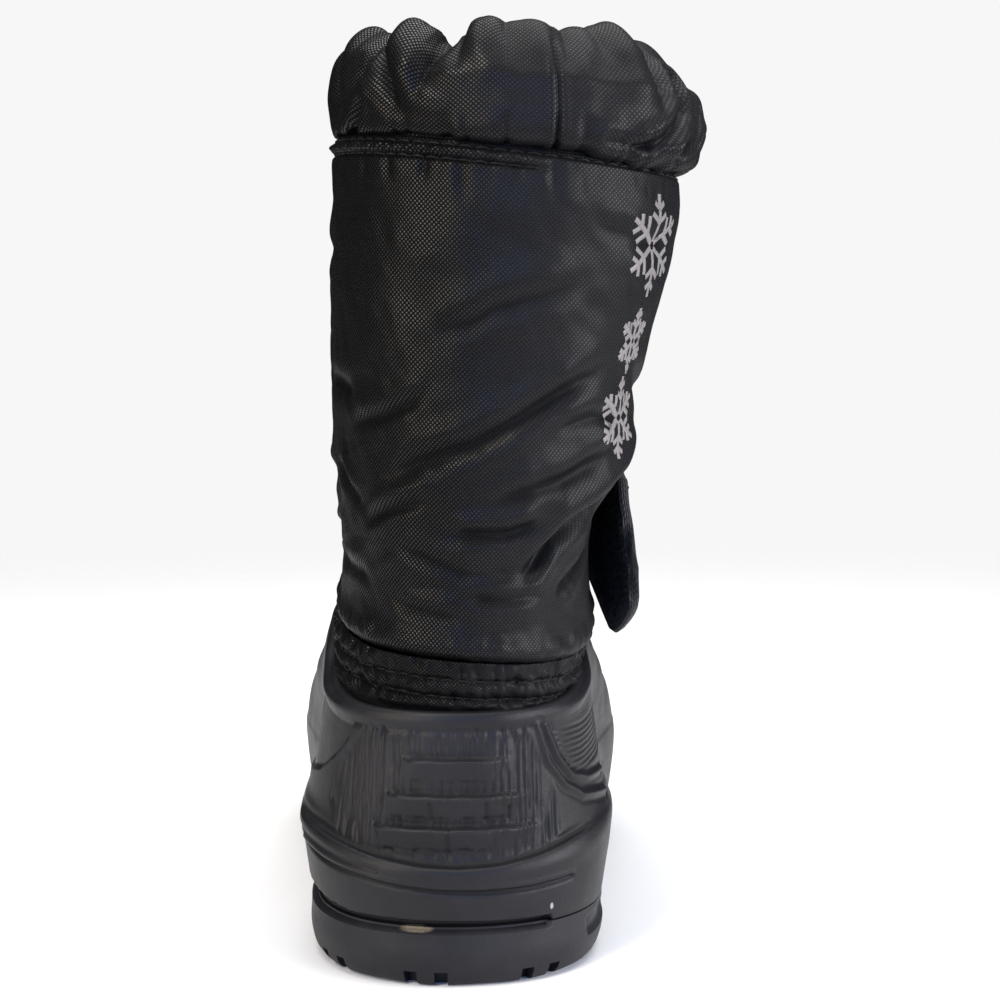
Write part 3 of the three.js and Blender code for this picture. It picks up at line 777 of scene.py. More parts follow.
def sole_relief(x, z, below_top):
    """z is the height over the tread, and below_top how far a point is under the shell."""
    relief = -SEAM_DEPTH * slot_shape(x, below_top, SEAM_LEFT, SEAM_RIGHT, -3, 0.9, 0.3)
    for left, right in RECESSES:
        relief = relief - RECESS_DEPTH * slot_shape(x, z, left, right, RECESS_LOW, RECESS_HIGH)
    return relief + 0.18 * value_noise(x / 12, z / 6, 43) + 0.5 * bell(z - 6.5, 4)


sole_over_tread = (sole_skin[..., 2] - tread_height(sole_skin[..., 1])) / MM
sole_under_top = (sole_skin[-1, :, 2] - sole_skin[..., 2]) / MM
relief = sole_relief(round_sole[None, :], sole_over_tread, sole_under_top)
EDGE_ROUNDING = 1.6  # mm, over the lowest part of the side
near_tread = (1 - np.linspace(0, 1, SOLE_ROWS) * 4.5).clip(0, 1)
rounding = -EDGE_ROUNDING * (1 - np.sqrt(1 - near_tread ** 2))
sole_side = sole_skin + outward(sole_skin) * ((relief + rounding[:, None]) * MM)[..., None]
centre = np.array([FOOT_AXIS[0], FOOT_AXIS[1], 0])
shrink = np.linspace(0, 1, 16)[:-1, None, None]
under = centre + (sole_side[0] - centre) * shrink
under[..., 2] = tread_height(under[..., 1])
top_z = sole_skin[-1, tread_order, 2]
SEAT_INSET, SEAT_RISE = 2.9 * MM, 1.2 * MM  # the middle of the top stands up a little inside the shell
seat = sole_side[-1] - unit(outward(sole_skin)[-4] * [1, 1, 0]) * SEAT_INSET
over = centre + (seat - centre) * np.concatenate([[[[1]], [[1]]], shrink[::-1]])
over[..., 2] = np.interp(over[..., 1], sole_skin[0, tread_order, 1], top_z)
over[1:, :, 2] += SEAT_RISE
sole_block = weld(lattice("outsole_block", np.concatenate([under, sole_side, over])))
print("outsole block:", len(sole_block.data.polygons), "faces")

# %% [markdown]
# ## A tree that sets blocks
#
# What repeats is made by Geometry Nodes. This first tree takes loose points that carry a facing and a size,
# sets a block on each and joins them. It makes every cutter of the tread: pairs of notches all round the
# edge and slanting bars across the heel and the ball.

# %% Geometry Nodes helper
class Making:
    """A Geometry Nodes tree with named inputs. run() gives the mesh it makes from loose points or lines."""

    def __init__(self, name, **inputs):
        self.tree = bpy.data.node_groups.new(name, "GeometryNodeTree")
        face = self.tree.interface
        face.new_socket("Geometry", in_out="INPUT", socket_type="NodeSocketGeometry")
        face.new_socket("Geometry", in_out="OUTPUT", socket_type="NodeSocketGeometry")
        self.keys = {}
        for key, value in inputs.items():
            socket = face.new_socket(key.replace("_", " "), in_out="INPUT", socket_type="NodeSocketFloat")
            socket.default_value = value
            self.keys[key] = socket.identifier
        material = face.new_socket("Material", in_out="INPUT", socket_type="NodeSocketMaterial")
        self.material_key = material.identifier
        self.start = self.tree.nodes.new("NodeGroupInput")
        self.end = self.tree.nodes.new("NodeGroupOutput")

    def given(self, key):
        return self.start.outputs[key.replace("_", " ")]

    def add(self, kind, settings=None, sockets=None):
        node = self.tree.nodes.new(kind)
        for key, value in (settings or {}).items():
            setattr(node, key, value)
        for key, value in (sockets or {}).items():
            if isinstance(value, bpy.types.NodeSocket):
                self.tree.links.new(value, node.inputs[key])
            else:
                node.inputs[key].default_value = value
        return node

    def stored(self, name, kind="FLOAT_VECTOR"):
        return self.add("GeometryNodeInputNamedAttribute", {"data_type": kind}, {"Name": name}).outputs[0]

    def finish(self, geometry):
        real = self.add("GeometryNodeRealizeInstances", None, {"Geometry": geometry})
        painted = self.add("GeometryNodeSetMaterial", None, {
            "Geometry": real.outputs[0], "Material": self.given("Material")})
        self.tree.links.new(painted.outputs[0], self.end.inputs[0])

    def run(self, name, points, edges=(), attributes=None, material=None, **values):
        seed = bpy.data.meshes.new(name + "_points")
        seed.from_pydata(np.asarray(points).tolist(), list(edges), [])
        for key, table in (attributes or {}).items():
            flat = np.asarray(table, np.float32)
            kind, slot = ("FLOAT_VECTOR", "vector") if flat.ndim == 2 else ("FLOAT", "value")
            seed.attributes.new(key, kind, "POINT").data.foreach_set(slot, flat.ravel())
        carrier = new_object(name, seed)
        modifier = carrier.modifiers.new("making", "NODES")
        modifier.node_group = self.tree
        for key, value in values.items():
            modifier[self.keys[key]] = value
        modifier[self.material_key] = material
        made = bpy.data.meshes.new_from_object(carrier.evaluated_get(bpy.context.evaluated_depsgraph_get()))
        bpy.data.objects.remove(carrier)
        bpy.data.meshes.remove(seed)
        return new_object(name, made)


def facing_rotation(making, along, up):
    """A rotation with X along one stored direction and Z as near as can be to another."""
    first = making.add("FunctionNodeAlignRotationToVector", {"axis": "X"}, {"Vector": along})
    return making.add(
        "FunctionNodeAlignRotationToVector", {"axis": "Z", "pivot_axis": "X"},
        {"Rotation": first.outputs[0], "Vector": up},
    ).outputs[0]


block_maker = Making("blocks")
block = block_maker.add("GeometryNodeMeshCube")
turned = facing_rotation(block_maker, block_maker.stored("facing"), (0, 0, 1))
blocks = block_maker.add("GeometryNodeInstanceOnPoints", None, {
    "Points": block_maker.given("Geometry"), "Instance": block.outputs[0],
    "Rotation": turned, "Scale": block_maker.stored("size"),
})
block_maker.finish(blocks.outputs[0])

# %% Cutting the tread
NOTCH_PAIRS, NOTCH_APART, NOTCH_SIZE, NOTCH_START = 18, 7 * MM, (3 * MM, 7 * MM), -6.4 * MM
CHANNEL_INSET, CHANNEL_WIDTH = 9 * MM, 3 * MM
CROSS_WIDTH, CROSS_SLANT = 3.2 * MM, 0.16
CROSS_PLACES = [-19, -9, 9, 19, 83, 94, 112, 123, 134]  # mm along the foot
BELOW = 3 * MM


def inset_ring(away):
    """The outline of the bottom, moved in and laid on the tread."""
    level = unit(outward(sole_skin)[4] * [1, 1, 0])
    ring = spread((sole_skin[0] - level * away).T, 5, True).T
    ring[:, 2] = tread_height(ring[:, 1])
    return ring


def rim_at(rim, side, y):
    """How far out the rim is on one side, at a place along the foot."""
    half = rim[rim[:, 0] * side > 0]
    half = half[np.argsort(half[:, 1])]
    return np.interp(y, half[:, 1], half[:, 0])


edge_length = np.concatenate([[0], np.cumsum(np.linalg.norm(np.diff(sole_skin[0], axis=0), axis=1))])
tread_points, tread_facing, tread_size = [], [], []
for k in range(NOTCH_PAIRS):
    for side in (-0.5, 0.5):
        at = (NOTCH_START + edge_length[-1] * k / NOTCH_PAIRS + side * NOTCH_APART) % edge_length[-1]
        place = np.array([np.interp(at, edge_length, sole_skin[0, :, n]) for n in range(3)])
        ahead = np.array([
            np.interp(at + MM, edge_length, sole_skin[0, :, n], period=edge_length[-1]) for n in range(3)])
        tread_points.append(place)
        tread_facing.append((ahead - place) * [1, 1, 0])
        tread_size.append((NOTCH_SIZE[0], NOTCH_SIZE[1], 2 * LUG))
rim = inset_ring(CHANNEL_INSET + CHANNEL_WIDTH / 2)
for k, y in enumerate(CROSS_PLACES):
    slant = CROSS_SLANT if k % 2 else -CROSS_SLANT
    left, right = (rim_at(rim, side, y * MM) for side in (-1, 1))
    tread_points.append(((left + right) / 2, y * MM, tread_height(y * MM)))
    tread_facing.append((math.cos(slant), math.sin(slant), 0))
    tread_size.append((right - left, CROSS_WIDTH, 2 * LUG))
cutters = block_maker.run(
    "tread_cutters", tread_points, attributes={"facing": tread_facing, "size": tread_size})

outer, inner = inset_ring(CHANNEL_INSET), inset_ring(CHANNEL_INSET + CHANNEL_WIDTH)
deep, down = [0, 0, LUG], [0, 0, -BELOW]
channel_corners = np.stack([outer + down, outer + deep, inner + deep, inner + down])
channel = weld(lattice("tread_channel", channel_corners, tube=True))
for cutter in (cutters, channel):
    cut = sole_block.modifiers.new("cut", "BOOLEAN")
    cut.operation, cut.solver, cut.object = "DIFFERENCE", "MANIFOLD", cutter
sole_mesh = bpy.data.meshes.new_from_object(sole_block.evaluated_get(bpy.context.evaluated_depsgraph_get()))
print("after the cuts:", len(sole_mesh.polygons), "faces")
for helper in (sole_block, cutters, channel):
    bpy.data.objects.remove(helper)
outsole = new_object("lugged_outsole", sole_mesh)
outsole.data.materials.clear()
outsole.data.materials.append(sole_rubber)
outsole.data.set_sharp_from_angle(angle=math.radians(40))
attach(outsole, "root")
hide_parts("outsole")
print("outsole:", len(outsole.data.polygons), "faces,", len(tread_points), "cutters")

# %% [markdown]
# ## Insole
#
# A felt sole lies loose in the shell. It has a soft rounded edge and a slightly dished heel, and its finish
# is matted fibres: noise stretched along the foot, crossed by finer noise.

# %% Felt insole
felt = Finish("grey felt", Specular_IOR_Level=0.2, Sheen_Weight=0.35)
fibre = felt.noise(900, 4, 0.7, stretch=(1, 0.3, 1))
mottle = felt.noise(90, 4, 0.6)
felt.feed(
    Base_Color=felt.mix(fibre * 0.6 + mottle * 0.5, grey(58, 58, 60), grey(120, 118, 116)),
    Roughness=fibre * 0.1 + 0.85,
    Normal=felt.bump(fibre + mottle * 0.8, 0.35 * MM),
)
insole_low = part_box("insole")[0]
insole_wall = Wall("insole", FOOT_AXIS, insole_low.z + 1.6 * MM, rows=8, blur=(3 * MM, 0))
insole_side = insole_wall.point(sole_angles, np.linspace(0, 1, 7)[:, None])
edge_round = np.array([0.9, 0.35, 0.08, 0, 0.08, 0.35, 0.9])[:, None, None] * MM
insole_side = insole_side - outward(insole_side) * edge_round
fill = centre + (insole_side[-1] - centre) * np.linspace(0.97, 0, 26)[:, None, None]
felt_order = np.argsort(insole_side[-1, :, 1])
fill[..., 2] = np.interp(fill[..., 1], insole_side[-1, felt_order, 1], insole_side[-1, felt_order, 2])
fill[..., 2] += 0.35 * MM * value_noise(fill[..., 0] / (6 * MM), fill[..., 1] / (6 * MM), 83) - 0.2 * MM
base = fill[::-1].copy()
base[..., 2] -= insole_side[-1, :, 2].mean() - insole_side[0, :, 2].mean()
insole = weld(lattice("felt_insole", np.concatenate([base, insole_side, fill])))
insole.data.materials.append(felt.material)
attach(insole, "root")
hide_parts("insole")
print("insole:", len(insole.data.polygons), "faces")

# %% [markdown]
# ## Nylon cloth
#
# The leg is cut from coarse nylon: a plain weave in which every second crossing lies on top. Those
# crossings are flat, smooth threads and catch the light, and the ones between them lie across it and stay
# dark, so the cloth looks like a slanting lattice of small bright dots. The weave is a product of two waves
# along the cloth's own UV map, which is in metres, so that it runs with the cloth and not with the room.
# The outer side of the leg is painted light: there its colour is lighter and its crossings stand out
# less, as where the wide lamp at that side falls on it. Creases, stitched rows and the strip under the cuff
# are painted shade, darker than the open cloth since light hardly gets in: the mesh says where in an
# attribute.

# %% Nylon
THREAD = 0.51 * MM


def woven_nylon(name, dark, bright, pitch=THREAD, shine=0.85):
    nylon = Finish(name, Specular_IOR_Level=0.08, Coat_Roughness=0.38, Coat_IOR=1.55)
    x, y = nylon.cloth_axes()
    u = (x / pitch + nylon.noise(60, 2, 0.5) * 1.2) * math.pi
    v = (y / pitch + nylon.noise(45, 2, 0.5) * 1.2) * math.pi
    crossing = u.sine() * v.sine()
    across = nylon.add("ShaderNodeSeparateXYZ", None, {"Vector": nylon.place()}, "X")
    # Painted shade: creases and stitched rows darken the cloth and dim its crossings.
    crease = nylon.add("ShaderNodeAttribute", {"attribute_name": "painted_crease_shade"}, output="Fac")
    # Painted light: the outer side of the leg is painted lighter and flatter, for the side lamp's light.
    painted_side_light = across.between(-8 * MM, 18 * MM)
    over = crossing.between(0.05, 0.7) * (1 - painted_side_light * 0.6) * (1 - crease * 0.75)
    under = (crossing * -1).between(0.1, 0.8)
    uneven = nylon.noise(900, 2, 0.6)
    wear = nylon.noise(22, 4, 0.6)
    dust = nylon.noise(210, 4, 0.75).between(0.6, 0.8)
    # The colour's mix: weave and dust, plus the painted light of the outer side, less the painted shade.
    shade = over * (wear * 0.5 + uneven * 0.4) + dust * 0.05 + painted_side_light * 0.8 * (1 - crease * 0.8)
    nylon.feed(
        Base_Color=nylon.mix(shade, dark, bright),
        Roughness=0.7 - wear * 0.1 - over * 0.25,
        Coat_Weight=over * (uneven * 0.6 + wear * 0.8) * shine + painted_side_light * 0.07,
        Normal=nylon.bump(over + under * 0.4 + uneven * 0.2, 0.22 * MM),
    )
    return nylon.material


shaft_nylon = woven_nylon("shaft nylon", grey(2, 2, 3), grey(22, 22, 24))
collar_nylon = woven_nylon("collar nylon", grey(2, 2, 3), grey(22, 22, 24), shine=1.0)
band_nylon = woven_nylon("band nylon", grey(3, 3, 4), grey(22, 22, 24), 0.45 * MM, shine=0.45)

# %% [markdown]
# Inside, the leg is lined with short fleece: matted curls with no direction, dull, and lighter than the
# nylon.

# %% Fleece
fleece = Finish("lining fleece", Specular_IOR_Level=0.15, Sheen_Weight=0.3, Sheen_Roughness=0.6)
curl = fleece.noise(650, 4, 0.7)
clump = fleece.noise(150, 3, 0.6)
fleece.feed(
    Base_Color=fleece.mix(curl * 0.5 + clump * 0.6, grey(22, 22, 24), grey(74, 73, 74)),
    Roughness=curl * 0.1 + 0.86,
    Normal=fleece.bump(curl + clump, 0.6 * MM),
)
fleece = fleece.material

# %% [markdown]
# ## Folds
#
# A crease in padded cloth is a soft trough with a swelling on each side, the larger one above, where the
# leg's weight pushes the padding down. Each crease is a short chain of places: the angle round the leg in
# degrees from the middle of the back, with the outer side positive, and the height in millimetres.

# %% Soft troughs and ridges
def turns(angle):
    """An angle in degrees between -180 and 180."""
    return (np.degrees(angle) + 180) % 360 - 180


def fold(angle, z, path, depth, width, swell=0.6):
    """Height in millimetres that one crease adds at each angle and height."""
    start, end = path[0][0], path[-1][0]
    fade = max(3.0, 0.22 * (end - start))
    run = smoothstep(start - fade * 0.4, start + fade, angle)
    run = run * smoothstep(end + fade * 0.4, end - fade, angle)
    away = z - along(path, angle)
    trough = -depth * bell(away, width)
    above = swell * depth * bell(away - 2.1 * width, 1.5 * width)
    below = 0.45 * swell * depth * bell(away + 2.0 * width, 1.4 * width)
    return run * (trough + above + below)


SHAFT_FOLDS = [  # path, depth, width, swelling
    ([(-26, 115), (-21, 117), (-9, 120), (-1, 122), (8, 126), (16, 130), (28, 136), (36, 139)],
     1.35, 2.3, 0.8),
    ([(4, 109), (16, 112), (25, 114), (34, 117), (44, 120)], 1.1, 2.0, 0.8),
    ([(12, 91), (18, 95), (26, 101), (41, 106), (55, 111), (64, 115), (80, 117)], 3.4, 2.6, 0.8),
    ([(-8, 102), (8, 102), (18, 104)], 1.2, 1.5, 0.9),
    ([(-24, 99), (-19, 97.5), (-7, 94), (0, 93)], 0.8, 1.7, 0.7),
    ([(-26, 86), (-21, 85), (-13, 84), (-6, 83)], 0.7, 1.5, 0.7),
    ([(-12, 147), (-2, 149), (4, 152), (17, 155), (28, 157)], 0.8, 2.4, 0.7),
    ([(-68, 116), (-57, 115), (-46, 109.5), (-40, 107)], 0.7, 1.6, 0.7),
    ([(-72, 94), (-62, 93), (-47, 92), (-38, 91)], 0.7, 1.6, 0.7),
    ([(-75, 135), (-59, 135), (-44, 133)], 1.4, 2.4, 0.5),
    ([(-44, 126), (-30, 128), (-14, 133)], 0.8, 1.8, 0.7),
    ([(-38, 104), (-28, 107), (-14, 110)], 0.9, 1.5, 0.8),
    ([(22, 126), (34, 128), (50, 127)], 1.0, 1.8, 0.7),
    ([(28, 88), (38, 91), (54, 95), (66, 97)], 1.3, 1.8, 0.7),
    ([(-4, 88), (8, 87), (20, 88)], 0.9, 1.4, 0.8),
    ([(60, 137), (78, 132), (96, 131)], 1.2, 2.4, 0.6),
    ([(-150, 140), (-120, 136), (-96, 137)], 1.6, 2.2, 0.7),
    ([(-160, 118), (-130, 112), (-100, 111), (-80, 113)], 2.0, 2.2, 0.8),
    ([(92, 118), (120, 121), (150, 126)], 1.8, 2.2, 0.8),
    ([(100, 142), (130, 139), (165, 141)], 1.2, 2.4, 0.7),
    ([(-130, 101), (-104, 97), (-84, 99)], 1.6, 1.8, 0.8),
    ([(30, 170), (48, 166), (62, 167)], 0.8, 2.6, 0.6),
    ([(-120, 168), (-90, 165), (-64, 167)], 0.9, 2.6, 0.6),
]
# Upright pulls under the collar's seam, where the cuff is gathered onto the leg.
SEAM_PULLS = [-66, -52, -38, -27, -15, -4, 9, 19, 30, 43, 57, 72, 95, 120, 150, 178, -160, -135, -108, -84]


def shaft_relief(angle, z):
    relief = 0.5 * value_noise(angle / 14, z / 11, 51) + 0.16 * value_noise(angle / 4.2 + z / 9, z / 4, 53)
    for path, depth, width, swell in SHAFT_FOLDS:
        relief = relief + fold(angle, z, path, depth, width, swell)
    ankle = bell(z - 100, 26)
    slanting = value_noise(angle / 17 - z / 24, z / 4.6 - angle / 30, 57)
    relief = relief - 0.35 * ankle * smoothstep(0.1, 0.9, slanting)
    for at in SEAM_PULLS:
        reach = 7 + 5 * math.sin(at * 7.3)
        relief = relief - 0.55 * bell(angle - at, 1.6) * smoothstep(182 - reach, 184, z)
    return relief

# %% [markdown]
# ## Shaft
#
# The leg is a padded tube, so it gets an outer face with its creases and a plain inner face of fleece. The
# hem turns under a little and stands over the band, and the top tucks in under the collar. Where the two
# are sewn together the cloth is drawn into a narrow puckered strip. Points are closest together on the back
# half and near the seam, where most of the small shapes are.

# %% Shaft mesh
def steps(*stretches):
    """Places from the first start to the last end, each stretch (start, end, count) evenly divided."""
    parts = [np.linspace(start, end, count, endpoint=False) for start, end, count in stretches]
    return np.append(np.concatenate(parts), stretches[-1][1])


leg_degrees = steps((-180, -105, 62), (-105, 105, 310), (105, 180, 62))[:-1]
leg_degrees = np.roll(leg_degrees, -int(np.searchsorted(leg_degrees, 0)))
leg_angles = np.radians(leg_degrees % 360)
shaft_shares = steps((0, 0.07, 16), (0.07, 0.9, 128), (0.9, 1, 40))[:, None]
shaft_skin = shaft_wall.point(leg_angles, shaft_shares)
shaft_out = outward(shaft_skin)
under_top = (shaft_wall.edge_height(leg_angles, "high") - shaft_skin[..., 2]) / MM
over_hem = (shaft_skin[..., 2] - shaft_wall.edge_height(leg_angles, "low")) / MM


UPPER_ROW, LOWER_ROW = 1.1, 4.1  # stitches, mm under the collar
ONE_ROW_FROM = 14  # degrees: there the lower row ends


def seam_relief(angle, below):
    """The strip under the collar: two rows of stitches at the back and inner side, one at the outer side."""
    double = smoothstep(19, 12, angle)
    pucker = value_noise(angle / 1.5, below / 3, 55)
    rows = -0.6 * bell(below - 1.0, 0.5) - 0.85 * double * bell(below - LOWER_ROW, 0.6)
    ridge = double * bell(below - 2.5, 1.0) * (0.6 + 0.7 * pucker)
    pulled = smoothstep(0, 0.9, value_noise(angle / 2.6, below / 6, 59)) * bell(below - 6, 3.5)
    return rows + ridge - 0.3 * pulled


relief = shaft_relief(leg_degrees[None, :], shaft_skin[..., 2] / MM)
relief = relief * smoothstep(0, 7, under_top) * (0.35 + 0.65 * smoothstep(0, 6, over_hem))
relief = relief + seam_relief(leg_degrees[None, :], under_top)
hem_pucker = value_noise(leg_degrees[None, :] / 3.1, over_hem / 5, 54)
relief = relief + (0.7 + 0.35 * hem_pucker) * bell(over_hem - 3.2, 2.6) - 1.8 * bell(over_hem, 1.1)
relief = relief - 1.0 * bell(under_top, 0.8)
shaft_outer = shaft_skin + shaft_out * (relief * MM)[..., None]
shaft_lining = shaft_inside.point(leg_angles, np.linspace(1, 0, 20)[:, None])
lining_fuzz = 0.35 * value_noise(leg_degrees[None, :] / 4, shaft_lining[..., 2] / (4 * MM), 56)
shaft_lining = shaft_lining + outward(shaft_lining) * (lining_fuzz * MM)[..., None]
shaft = lattice(
    "padded_shaft",
    np.concatenate([shaft_outer, shaft_lining]),
    cloth_uv(np.concatenate([shaft_skin, shaft_lining])),
    tube=True,
)
# Painted shadow: a dark strip right under the cuff, where the cuff's shadow falls.
painted_cuff_shadow = bell(under_top - 0.4, 1.1) * 0.9
# Painted shade in the shaft's creases and seams, together with the painted cuff shadow.
point_values(shaft, "painted_crease_shade", np.maximum(hollows(relief, 6, 0.12, 0.9), painted_cuff_shadow))
shaft.data.materials.append(shaft_nylon)
shaft.data.materials.append(fleece)
faces_across = len(leg_angles)
inside_from = (len(shaft_outer) - 1) * faces_across
inner_faces = np.arange(len(shaft.data.polygons)) >= inside_from
shaft.data.polygons.foreach_set("material_index", inner_faces.astype(np.int32))
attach(shaft, "root")
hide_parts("shaft")
print("shaft:", len(shaft.data.polygons), "quads; relief in mm", relief.min().round(1), relief.max().round(1))

# %% [markdown]
# The leg and the collar meet edge to edge, so their joint is bound inside with a round tape, as a maker
# would finish it. Without it light comes through the joint where the two edges part.

# %% Binding inside
top_edge = shaft_lining[0]
binding_path = spread(top_edge[:: max(1, len(top_edge) // 240)].T, 1.5, True).T + [0, 0, 0.4 * MM]
binding = tube("inner_binding", binding_path, 1.4 * MM, sides=12, closed=True)
binding.data.materials.append(band_nylon)
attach(binding, "root")
binding_z = binding_path[:, 2] / MM
print("binding runs at", binding_z.min().round(1), "to", binding_z.max().round(1), "mm")

# %% [markdown]
# ## Band
#
# A strip of the same cloth joins the leg to the shell. It is folded double, so it has a rolled lip at the
# shell, a trough along each row of stitches, and it puckers between them.

# %% Band mesh
BAND_COLUMNS, BAND_ROWS = 620, 56
BAND_ROWS_OF_STITCHES = [4.4, 8.4]  # mm below the upper edge


def band_relief(angle, share, width):
    """width is the band's height there. The relief is in millimetres."""
    z = share * width
    pucker = value_noise(angle / 2.2 + z / 8, z / 2.6, 61) * 0.5 + value_noise(angle / 6, z / 4, 63) * 0.6
    gathers = cracks(angle, z, 3.4, 9, 65, 0.25)
    rows = sum(-0.7 * bell(z - (width - drop), 0.6) for drop in BAND_ROWS_OF_STITCHES)
    lips = 0.7 * bell(z - (width - 6.4), 1.4) + 0.9 * bell(z - (width - 10.8), 1.8)
    return pucker + rows + lips - 0.6 * gathers


band_shares = np.linspace(0, 1, BAND_ROWS)[:, None]
band_angles = np.linspace(0, 2 * math.pi, BAND_COLUMNS, endpoint=False)
band_skin = band_wall.point(band_angles, band_shares)
band_width = (band_wall.edge_height(band_angles, "high") - band_wall.edge_height(band_angles, "low")) / MM
relief = band_relief(turns(band_angles)[None, :], band_shares, band_width[None, :])
relief = relief * smoothstep(0, 0.12, band_shares - 0.35)
band_outer = band_skin + outward(band_skin) * (relief * MM)[..., None]
inner = band_skin[::-5] - outward(band_skin)[::-5] * 2.2 * MM
band_cloth_uv = cloth_uv(np.concatenate([band_skin, inner]))
band = lattice("folded_band", np.concatenate([band_outer, inner]), band_cloth_uv, tube=True)
# Painted shade in the band's troughs and stitched rows.
point_values(band, "painted_crease_shade", hollows(relief, 4, 0.1, 0.9))
band.data.materials.append(band_nylon)
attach(band, "root")
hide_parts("band")
print("band:", len(band.data.polygons), "quads;",
      "height in mm", round(band_width.min()), "to", round(band_width.max()))

# %% [markdown]
# ## Collar
#
# The cuff is a puffed roll of double cloth. Its section is read from inside the solid: rays from the middle
# of the roll find its skin all the way round. The elastic cord in its top draws the cloth into lumps with
# sharp valleys between them. One upright seam closes the cuff at the back, and puckers run up from the seam
# it is sewn to.

# %% Section of a roll
class Roll:
    """The skin of a closed ring-shaped solid: by angle round an upright axis, then round its section."""

    def __init__(self, node, axis, middle, columns=420, around=150, blur=(1.2, 2.2)):
        tree = ray_tree(node)
        self.angles = np.linspace(0, 2 * math.pi, columns, endpoint=False)
        section = np.linspace(-math.pi / 2, 1.5 * math.pi, around, endpoint=False)
        outer = Wall(node, axis, middle, columns=columns, rows=8)
        inner = Wall(node, axis, middle, inside=True, columns=columns, rows=8)
        self.heart = np.empty((columns, 3))
        reach = np.empty((around, columns))
        for j, angle in enumerate(self.angles):
            out = Vector((math.sin(angle), -math.cos(angle), 0))
            far = (outer.reach(angle, middle) + inner.reach(angle, middle)) / 2
            heart = Vector((axis[0], axis[1], middle)) + out * far
            self.heart[j] = heart
            for i, turn in enumerate(section):
                hit = tree.ray_cast(heart, out * math.cos(turn) + Vector((0, 0, math.sin(turn))))[0]
                reach[i, j] = (hit - heart).length if hit else np.nan
        reach = Wall.filled(reach, 0)
        reach = spread(reach, blur[0], True)
        reach = spread(reach.T, blur[1], True).T
        ways = np.stack([np.sin(self.angles), -np.cos(self.angles), 0 * self.angles], axis=-1)
        up = np.array([0, 0, 1])
        turn = section[:, None, None]
        self.skin = self.heart + reach[..., None] * (ways * np.cos(turn) + up * np.sin(turn))


def evened(points, rows):
    """The lattice with its rows, which close on themselves, spaced evenly along each column."""
    closed = np.concatenate([points, points[:1]])
    length = np.concatenate([np.zeros((1, points.shape[1])),
                             np.cumsum(np.linalg.norm(np.diff(closed, axis=0), axis=2), axis=0)])
    even = np.empty((rows, points.shape[1], 3))
    for j in range(points.shape[1]):
        at = np.linspace(0, length[-1, j], rows, endpoint=False)
        for k in range(3):
            even[:, j, k] = np.interp(at, length[:, j], closed[:, j, k])
    return even


COLLAR_AXIS = (11 * MM, 14 * MM)
COLLAR_ROWS = 190
roll = Roll("collar", COLLAR_AXIS, 198 * MM)
collar_skin = evened(roll.skin, COLLAR_ROWS)
section_steps = np.linalg.norm(np.diff(collar_skin[:, 0], axis=0), axis=1)
print("collar's section is", round(section_steps.sum() / MM), "mm round")


# %% Gathers of the collar
COLLAR_SEAM_Z = 187  # mm
# Valleys in the cloth: angle, lean in degrees as it climbs, depth, width in degrees, height of its foot.
VALLEYS = [
    (-47, 4, 1.8, 2.4, 197), (-29, -9, 3.4, 2.2, 194.5), (-24, 6, 2.2, 2.0, 197), (-13, 0, 2.4, 2.6, 203),
    (1, -2, 0.9, 2.2, 206), (16, 2, 1.5, 2.4, 204), (28, -2, 0.8, 2.6, 206), (42, 4, 2.6, 2.6, 194),
    (53, -7, 1.8, 3.0, 194), (66, 4, 1.6, 3.2, 196), (76, 2, 2.2, 2.8, 194), (90, -3, 1.8, 2.8, 197),
    (104, 3, 2.4, 2.8, 195), (128, -3, 2.0, 2.8, 197), (146, 2, 1.6, 2.6, 199), (166, -3, 2.4, 2.8, 196),
    (-170, 3, 2.2, 2.8, 197), (-148, -2, 2.2, 2.8, 196), (-126, 3, 2.0, 2.8, 198), (-104, -3, 2.4, 2.8, 196),
    (-82, 2, 2.4, 2.8, 195), (-64, -3, 2.4, 2.6, 196),
]
# Long soft folds low on the cuff's right: places and heights of each, depth, width in mm.
CUFF_FOLDS = [
    ([(34, 186), (44, 190), (52, 196), (56, 203)], 1.8, 1.5),
    ([(50, 186), (60, 190), (68, 197)], 1.5, 1.5),
    ([(26, 188), (36, 187), (46, 185)], 0.9, 1.4),
    ([(-60, 188), (-50, 192), (-44, 198)], 1.3, 1.4),
]
SEAM_AT = 12.6  # degrees


def collar_relief(angle, z, outside):
    """outside is 1 on the outer face and 0 on the inner one."""
    relief = 0.55 * value_noise(angle / 13, z / 8, 71) + 0.16 * value_noise(angle / 4, z / 4, 73)
    for at, lean, depth, width, foot in VALLEYS:
        off = (angle - at - lean * np.clip((z - foot) / 14, 0, 1) + 180) % 360 - 180
        crease = -depth * np.exp(-abs(off) / width)
        lobes = 0.45 * depth * (bell(off - 3.2 * width, 2.2 * width) + bell(off + 3.2 * width, 2.2 * width))
        relief = relief + crease * smoothstep(foot - 2, foot + 8, z)
        relief = relief + lobes * smoothstep(foot - 8, foot + 8, z)
    for path, depth, width in CUFF_FOLDS:
        away = nearest(path, angle, z)
        relief = relief + outside * depth * (0.6 * bell(away - 2.2 * width, 1.3 * width) - bell(away, width))
    fine = value_noise(angle / 2.3, z / 30, 75)
    relief = relief - 0.35 * smoothstep(0, 0.9, fine) * smoothstep(205, 213, z + 3 * (1 - outside))
    low = smoothstep(COLLAR_SEAM_Z + 9, COLLAR_SEAM_Z + 1.5, z) * outside
    relief = relief - 0.9 * low * smoothstep(0.0, 0.8, value_noise(angle / 2.1, 0 * z, 77))
    off = angle - SEAM_AT
    seam = -1.2 * bell(off, 0.5) + 0.6 * bell(off + 1.4, 0.9) + 0.2 * bell(off - 1.6, 1.0)
    return relief + outside * seam


